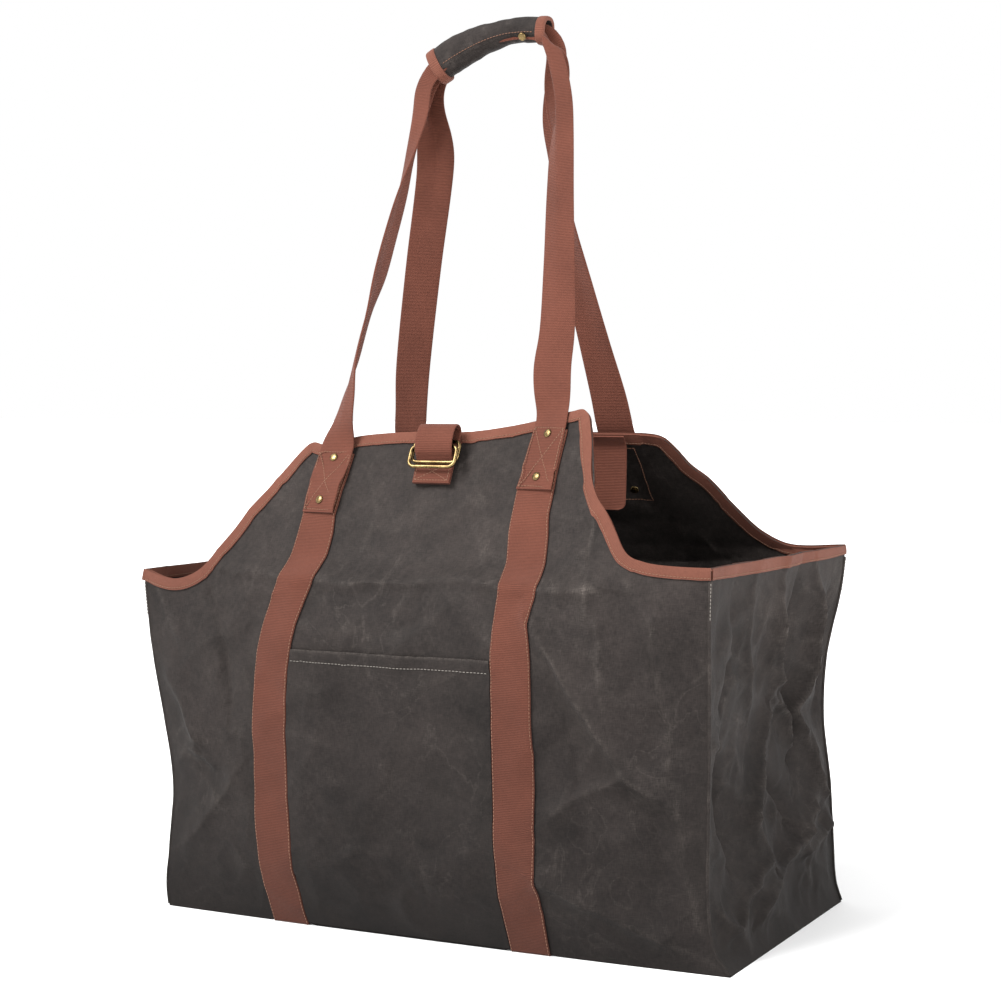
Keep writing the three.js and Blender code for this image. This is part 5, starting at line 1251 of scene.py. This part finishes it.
steps = np.arange(len(TAB_LINE))
fine = np.linspace(0, len(TAB_LINE) - 1, TAB_ROWS)
rise = smooth(steps, [p[0] for p in TAB_LINE], fine) * TAB_LOOP
stand = TAB_BACK + smooth(steps, [p[1] for p in TAB_LINE], fine) * TAB_STAND
run = np.stack([np.gradient(rise), np.gradient(stand)], -1)
run /= np.linalg.norm(run, axis=1, keepdims=True)
half = half_thickness(STRAP_ACROSS)[:, None]
wobble = 0.5 * cloud_noise(fine * 3, fine * 0, 9, 91)
skins = [tab_point(STRAP_ACROSS[:, None] + wobble, rise - way * run[:, 1] * half, stand + way * run[:, 0] * half)
         for way in (1, -1)]
sheet_piece("ring_tab_webbing", skins[0], skins[1], WEB_FINISH, ["ring_tab"])


# Brass. Rings, rivets and the press stud are antique brass: dark in the hollows, worn bright on the
# high places.
BRASS_BRIGHT = (0.27, 0.19, 0.085, 1)
BRASS_DARK = (0.06, 0.041, 0.018, 1)


def brass_finish():
    """Aged brass: bright and dark metal mixed by noise."""
    material, tree, bsdf = shader("antique_brass", 0.34, 1.0)
    place = add(tree, "ShaderNodeTexCoord")
    stains = add(tree, "ShaderNodeTexNoise", place.outputs["Object"], scale=420.0, detail=4.0)
    broad = add(tree, "ShaderNodeTexNoise", place.outputs["Object"], scale=90.0, detail=2.0)
    level = math_node(tree, "ADD", math_node(tree, "MULTIPLY", stains.outputs["Fac"], 0.6),
                      math_node(tree, "MULTIPLY", broad.outputs["Fac"], 0.5))
    share = add(tree, "ShaderNodeMapRange", level, 0.4, 0.68)
    tree.links.new(blend_colours(tree, share.outputs[0], BRASS_DARK, BRASS_BRIGHT), bsdf.inputs["Base Color"])
    rough = add(tree, "ShaderNodeMapRange", stains.outputs["Fac"], 0.3, 0.7, 0.24, 0.46)
    tree.links.new(rough.outputs[0], bsdf.inputs["Roughness"])
    bump = add(tree, "ShaderNodeBump", strength=0.25, distance=0.0002)
    tree.links.new(stains.outputs["Fac"], bump.inputs["Height"])
    tree.links.new(bump.outputs[0], bsdf.inputs["Normal"])
    return material


BRASS_FINISH = brass_finish()

# Rings. Two rectangular wire rings with round corners hang in the tab's loop, the lower bars one
# above the other in front of the sewn patch.
RING_WIDTH = 50.0
RING_HEIGHT = 24.0
RING_WIRE = 3.3
RING_CORNER = 6.0
RING_STEP = 6.0
RING_SIDES = 18
RING_CORNER_CELLS = 12


def ring_line():
    """Rounded rectangle as corner arcs of RING_CORNER round the wire's centre line, with outward directions."""
    wide, tall = (RING_WIDTH - RING_WIRE) / 2, (RING_HEIGHT - RING_WIRE) / 2
    angle = np.linspace(0, math.pi / 2, RING_CORNER_CELLS)[None, :] + (np.arange(4) * math.pi / 2)[:, None]
    signs = np.array([(1, 1), (-1, 1), (-1, -1), (1, -1)], float)
    out = np.stack([np.cos(angle), np.sin(angle)], -1)
    centre = signs * (np.array([wide, tall]) - RING_CORNER)
    return (centre[:, None] + RING_CORNER * out).reshape(-1, 2), out.reshape(-1, 2)


def ring_piece(name, low_rise, stand, node):
    """Wire of round section carried round the ring's line, as a torus-like grid closed both ways."""
    line, out = ring_line()
    angle = np.linspace(0, 2 * math.pi, RING_SIDES, endpoint=False)
    flat, thick = np.cos(angle) * RING_WIRE / 2, np.sin(angle) * RING_WIRE / 2
    x = line[:, None, 0] + out[:, None, 0] * flat
    rise = low_rise + (RING_HEIGHT - RING_WIRE) / 2 + line[:, None, 1] + out[:, None, 1] * flat
    points = tab_point(x, rise, stand + np.broadcast_to(thick, x.shape))
    ids = np.arange(x.size).reshape(x.shape)
    ahead, beside = np.roll(ids, -1, 0), np.roll(ids, -1, 1)
    faces = np.stack([ids, ahead, np.roll(ahead, -1, 1), beside], -1).reshape(-1, 4)
    new_piece(name, points, faces, BRASS_FINISH, [node])


RING_FRONT = TAB_FRONT + WEBBING / 2 + GAP + RING_WIRE / 2
RING_LOW = -TAB_LOOP - 0.8 * RING_WIRE
ring_piece("inner_ring_wire", RING_LOW, RING_FRONT, "inner_ring")
ring_piece("outer_ring_wire", RING_LOW - RING_STEP, RING_FRONT + RING_WIRE + GAP, "outer_ring")


# Rivets and press stud. Domed brass heads on the outside of each handle end, with flat washers
# inside the bag, and one low stud with a rolled rim on the grip.
RIVET_RADIUS = 4.0
RIVET_RISE = 1.8
RIVET_DROPS = (("upper", 17.0), ("lower", 55.0))
SNAP_RADIUS = 4.0
SNAP_ALONG = 0.82
SNAP_ANGLE = math.pi * 0.66
TURNED_SIDES = 32


def turned_piece(name, profile, place, facing, node):
    """Profile of (radius, height) pairs turned about the axis through place along facing; the first and last rings are
    closed by quads folded across them."""
    profile = np.array(profile, float)
    facing = facing / np.linalg.norm(facing)
    across = np.cross(facing, [1.0, 0.0, 0.0])
    across /= np.linalg.norm(across)
    other = np.cross(facing, across)
    angle = np.linspace(0, 2 * math.pi, TURNED_SIDES, endpoint=False)[:, None, None]
    radius, height = profile[None, :, 0, None], profile[None, :, 1, None]
    points = place + radius * (np.cos(angle) * across + np.sin(angle) * other) + height * facing
    return new_piece(name, points, rod_faces(TURNED_SIDES, len(profile)), BRASS_FINISH, [node], sharp=60)


def dome_profile(radius, rise):
    """Flat back, upright edge, then a quarter ellipse to the top."""
    turn = np.linspace(0.0, 1.5, 8)
    cap = np.stack([radius * np.cos(turn), rise * (0.3 + 0.7 * np.sin(turn))], -1)
    return np.concatenate([[(radius * 0.9, 0.0), (radius, rise * 0.12)], cap])


def washer_profile(radius, rise):
    """Flat back, rounded edge, flat face with a shallow dish and the spread end of the shank in its middle."""
    return [(radius * 0.92, 0), (radius, rise * 0.4), (radius * 0.92, rise * 0.9), (radius * 0.6, rise * 0.8),
            (radius * 0.42, rise * 0.7), (radius * 0.4, rise * 1.3), (radius * 0.25, rise * 1.5), (radius * 0.05, rise * 1.5)]


for panel_name, side in (("front", FRONT), ("back", BACK)):
    for corner in ("left", "right"):
        for level, drop in RIVET_DROPS:
            middle = strap_x(side, corner, PANEL_HEIGHT)
            z = edge_height(side, middle) - drop
            point, normal = wall_frame(side, strap_x(side, corner, z), z)
            label = f"{panel_name}_{corner}_{level}_rivet"
            outside = point + normal * (HANDLE_LIFT + WEBBING / 2 + 0.2)
            loose = panel_name == "back" and corner == "right"
            inside = point + normal * ((-CANVAS if loose else LINING_LAYER - WEBBING / 2) - 0.2)
            turned_piece(f"{label}_head", dome_profile(RIVET_RADIUS, RIVET_RISE), outside, normal, label)
            turned_piece(f"{label}_washer", washer_profile(RIVET_RADIUS, RIVET_RISE / 2), inside, -normal, f"{label}_back")

snap = grip_surface(np.array(SNAP_ALONG), np.array(SNAP_ANGLE), np.array(0.3))
snap_out = (grip_surface(np.array(SNAP_ALONG), np.array(SNAP_ANGLE), np.array(6.0)) - snap)
snap_profile = [(SNAP_RADIUS * 0.9, 0), (SNAP_RADIUS, 0.5), (SNAP_RADIUS * 0.95, 1.3), (SNAP_RADIUS * 0.8, 1.7),
                (SNAP_RADIUS * 0.62, 1.4), (SNAP_RADIUS * 0.3, 1.5), (SNAP_RADIUS * 0.04, 1.55)]
turned_piece("grip_snap_head", snap_profile, snap, snap_out, "grip_snap")


# Stitches. Every seam that shows is sewn with thick thread: orange-brown along the tapes and the
# straps, pale on the pocket's hem and at the corner seams. Each stitch is one small padded bar.
THREAD_TAN = (0.19, 0.085, 0.047, 1)
THREAD_WHITE = (0.19, 0.172, 0.15, 1)
STITCH_PITCH = 3.3
STITCH_LENGTH = 2.5
STITCH_WIDTH = 0.75
STITCH_RISE = 0.5


def thread_finish(name, colour):
    """Twisted thread: slanting darker bands on Object coordinates."""
    material, tree, bsdf = shader(name, 0.7)
    place = add(tree, "ShaderNodeTexCoord")
    twist = add(tree, "ShaderNodeTexWave", place.outputs["Object"], scale=900.0, distortion=1.0)
    dark = tuple(part * 0.62 for part in colour[:3]) + (1,)
    tree.links.new(blend_colours(tree, twist.outputs["Fac"], dark, colour), bsdf.inputs["Base Color"])
    return material


TAN_THREAD = thread_finish("tan_thread", THREAD_TAN)
PALE_THREAD = thread_finish("pale_thread", THREAD_WHITE)


def stitch_bars(path, normals, pitch=STITCH_PITCH, length=STITCH_LENGTH, width=STITCH_WIDTH):
    """One bar per pitch along a path: five rings of four corners at t from -1 to 1, each at centre + run * t * length / 2,
    scaled by (1 - t^2)^(1/4), its top edge narrower and raised."""
    chord = np.concatenate([[0], np.cumsum(np.linalg.norm(np.diff(path, axis=0), axis=1))])
    places = np.arange(pitch / 2, chord[-1], pitch)
    if not len(places):
        return np.zeros((0, 3)), np.zeros((0, 4), int)
    centre = np.stack([np.interp(places, chord, path[:, k]) for k in range(3)], -1)
    ahead = np.stack([np.interp(places + 0.5, chord, path[:, k]) for k in range(3)], -1)
    before = np.stack([np.interp(places - 0.5, chord, path[:, k]) for k in range(3)], -1)
    up = np.stack([np.interp(places, chord, normals[:, k]) for k in range(3)], -1)
    run = ahead - before
    run /= np.linalg.norm(run, axis=1, keepdims=True)
    up /= np.linalg.norm(up, axis=1, keepdims=True)
    across = np.cross(run, up)
    t = np.array([-1, -0.65, 0, 0.65, 1])
    size = np.array([0.35, 0.85, 1, 0.85, 0.35])
    corners = np.array([(-1, -0.35), (1, -0.35), (0.55, 1), (-0.55, 1)])
    points = (centre[:, None, None] + run[:, None, None] * (t * length / 2)[None, :, None, None]
              + across[:, None, None] * (corners[:, 0] * width / 2)[None, None, :, None] * size[None, :, None, None]
              + up[:, None, None] * (corners[:, 1] * STITCH_RISE)[None, None, :, None] * size[None, :, None, None])
    ids = np.arange(20).reshape(5, 4)
    beside = np.roll(ids, -1, 1)
    walls = np.stack([ids[:-1], beside[:-1], beside[1:], ids[1:]], -1).reshape(-1, 4)
    one = np.concatenate([walls, [ids[0][::-1]], [ids[-1]]])
    faces = (one[None] + 20 * np.arange(len(places))[:, None, None]).reshape(-1, 4)
    return points.reshape(-1, 3), faces


def stitch_piece(name, paths, finish, slot, **sizes):
    """All the bars of several paths as one piece."""
    made = [stitch_bars(path, normals, **sizes) for path, normals in paths]
    starts = np.cumsum([0] + [len(points) for points, _ in made[:-1]])
    points = np.concatenate([points for points, _ in made])
    faces = np.concatenate([faces + start for (_, faces), start in zip(made, starts)])
    return new_piece(name, points, faces, finish, sharp=80)


def wall_path(side, points, out, steps=40):
    """Path over a wall through (x, z) points, at a distance out from the canvas, with its normals."""
    points = np.array(points, float)
    at = np.linspace(0, len(points) - 1, steps * (len(points) - 1) + 1)
    x = np.interp(at, np.arange(len(points)), points[:, 0])
    z = np.interp(at, np.arange(len(points)), points[:, 1])
    place, normals = wall_frame(side, x, z)
    sign = 1 if out > -CANVAS / 2 else -1
    return place + normals * out, normals * sign


tape_paths = []
for below_edge, scale in rim_paths.values():
    for drop in (BINDING_DEPTH - 1.9,):
        for out, sign in ((GAP + BINDING + 0.25, 1), (-CANVAS - GAP - BINDING - 0.25, -1)):
            points, normals = below_edge(drop * scale)
            tape_paths.append((points + normals * out, normals * sign))
stitch_piece("rim_stitches", tape_paths, TAN_THREAD, "binding", pitch=3.1)
stitch_piece("strap_stitches", strap_stitch_paths, TAN_THREAD, "webbing")

box_paths = []
for side in (FRONT, BACK):
    for corner in ("left", "right"):
        top = edge_height(side, strap_x(side, corner, PANEL_HEIGHT))
        low, high = top - STRAP_STOP - HANDLE_LAP + 2.5, top - BINDING_DEPTH - 1
        out = HANDLE_LIFT + WEBBING / 2
        inset = STRAP_WIDTH / 2 - 2.2
        at = lambda across, z: (strap_x(side, corner, z) + across, z)
        loop = [at(-inset, low), at(inset, low), at(inset, high), at(-inset, high), at(-inset, low)]
        box_paths.append(wall_path(side, loop, out))
        box_paths.append(wall_path(side, [at(-inset, low), at(inset, high)], out, 60))
        box_paths.append(wall_path(side, [at(inset, low), at(-inset, high)], out, 60))
        inner = LINING_LAYER - WEBBING / 2
        box_paths.append(wall_path(side, loop, inner))
low, high, inset = -TAB_LOOP - TAB_PATCH + 2.5, -TAB_LOOP - 2.5, STRAP_WIDTH / 2 - 2.2
tab_out = TAB_BACK + 0.15 * TAB_STAND + WEBBING / 2
for line in ([(-inset, low), (inset, low), (inset, high), (-inset, high), (-inset, low)],
             [(-inset, low), (inset, high)], [(inset, low), (-inset, high)]):
    line = np.array(line, float)
    at = np.linspace(0, len(line) - 1, 30 * (len(line) - 1) + 1)
    across = np.interp(at, np.arange(len(line)), line[:, 0])
    rise = np.interp(at, np.arange(len(line)), line[:, 1])
    box_paths.append((tab_point(across, rise, tab_out), np.broadcast_to(TAB_OUT, (len(at), 3))))
stitch_piece("box_stitches", box_paths, TAN_THREAD, "webbing", pitch=3.0)

hem = np.linspace(0, 1, 90)
inset = STRAP_WIDTH / 2 + 1.5
hem_z = POCKET_HEIGHT - HEM_DROP
x = (strap_x(FRONT, "left", hem_z) + inset) * (1 - hem) + (strap_x(FRONT, "right", hem_z) - inset) * hem
points, normals = wall_frame(FRONT, x, np.full_like(x, hem_z) + 0.5 * cloud_noise(x, x * 0, 30, 95))
bow = 1.2 * np.sin(math.pi * hem) * np.clip((hem_z - 200) / 58, 0, 1) ** 2
swell = HEM_SWELL * math.exp(-(((POCKET_HEIGHT - 3 - hem_z) / 5) ** 2))
lift = GAP + CANVAS * 0.7 + 0.25
hem_paths = [(points + normals * (lift + bow + swell)[:, None], normals)]
stitch_piece("pocket_stitches", hem_paths, PALE_THREAD, "canvas", pitch=3.4)

corner_paths = []
for side, corner in ((FRONT, "left"), (FRONT, "right"), (BACK, "left"), (BACK, "right")):
    top = float(edge_height(side, seam_x(side, corner, RIM_HEIGHT))) - BINDING_DEPTH
    z = np.linspace(top - 33, top - 1, 40)
    x = seam_x(side, corner, z)
    outwards = 1 if corner == "right" else -1
    path = np.stack([x + outwards * 1.2, wall_y(side, x, z) + side["out"] * 0.4, z], -1)
    corner_paths.append((path, np.broadcast_to([outwards * 0.6, side["out"] * 0.8, 0.0], path.shape)))
stitch_piece("corner_stitches", corner_paths, PALE_THREAD, "canvas", pitch=3.2)

grip_paths = []
along = np.linspace(0.09, 0.9, 60)
for grip_angle in (FLAP_ANGLE - 0.22,):
    angle = np.full_like(along, grip_angle)
    points = grip_surface(along, angle, wrap_growth(angle, along) + 0.05)
    normals = grip_surface(along, angle, 6.0 + 0 * along) - grip_surface(along, angle, 0 * along)
    grip_paths.append((points, normals))
stitch_piece("grip_stitches", grip_paths, TAN_THREAD, "canvas", pitch=3.2)


# Floor and light. A plain pale floor and a pale surround, lit by a broad soft sun from the upper
# left in front and a weak lamp from the right.
FLOOR_COLOUR = (0.88, 0.88, 0.88, 1)

floor_mesh = bpy.data.meshes.new("floor")
floor_mesh.from_pydata([(-40, -40, 0), (40, -40, 0), (40, 40, 0), (-40, 40, 0)], [], [(0, 1, 2, 3)])
floor = bpy.data.objects.new("floor", floor_mesh)
bpy.context.scene.collection.objects.link(floor)
floor_finish, floor_tree, floor_bsdf = shader("pale_floor", 0.9)
floor_bsdf.inputs["Base Color"].default_value = FLOOR_COLOUR
floor_mesh.materials.append(floor_finish)

world = bpy.data.worlds.new("studio")
world.use_nodes = True
world.node_tree.nodes["Background"].inputs["Color"].default_value = (1, 1, 1, 1)
world.node_tree.nodes["Background"].inputs["Strength"].default_value = 1.0
bpy.context.scene.world = world


def soft_lamp(name, place, aim, size, power):
    """Square area lamp at a place, turned to face the aim."""
    data = bpy.data.lights.new(name, "AREA")
    data.size = size
    data.energy = power
    lamp = bpy.data.objects.new(name, data)
    lamp.location = place
    lamp.rotation_mode = "QUATERNION"
    lamp.rotation_quaternion = (Vector(aim) - Vector(place)).to_track_quat("-Z", "Y")
    bpy.context.scene.collection.objects.link(lamp)


LAMP_AIM = (0, 0, 0.35)
soft_lamp("side_lamp", (2.6, -0.25, 1.3), LAMP_AIM, 1.6, 52)

SUN_PLACE = (-0.42, -0.6, 0.72)
SUN_SPREAD = 30
SUN_STRENGTH = 5.4
sun_data = bpy.data.lights.new("key_sun", "SUN")
sun_data.angle = math.radians(SUN_SPREAD)
sun_data.energy = SUN_STRENGTH
sun = bpy.data.objects.new("key_sun", sun_data)
sun.rotation_mode = "QUATERNION"
sun.rotation_quaternion = Vector(SUN_PLACE).to_track_quat("Z", "Y")
bpy.context.scene.collection.objects.link(sun)

bpy.context.scene.view_settings.view_transform = "Standard"
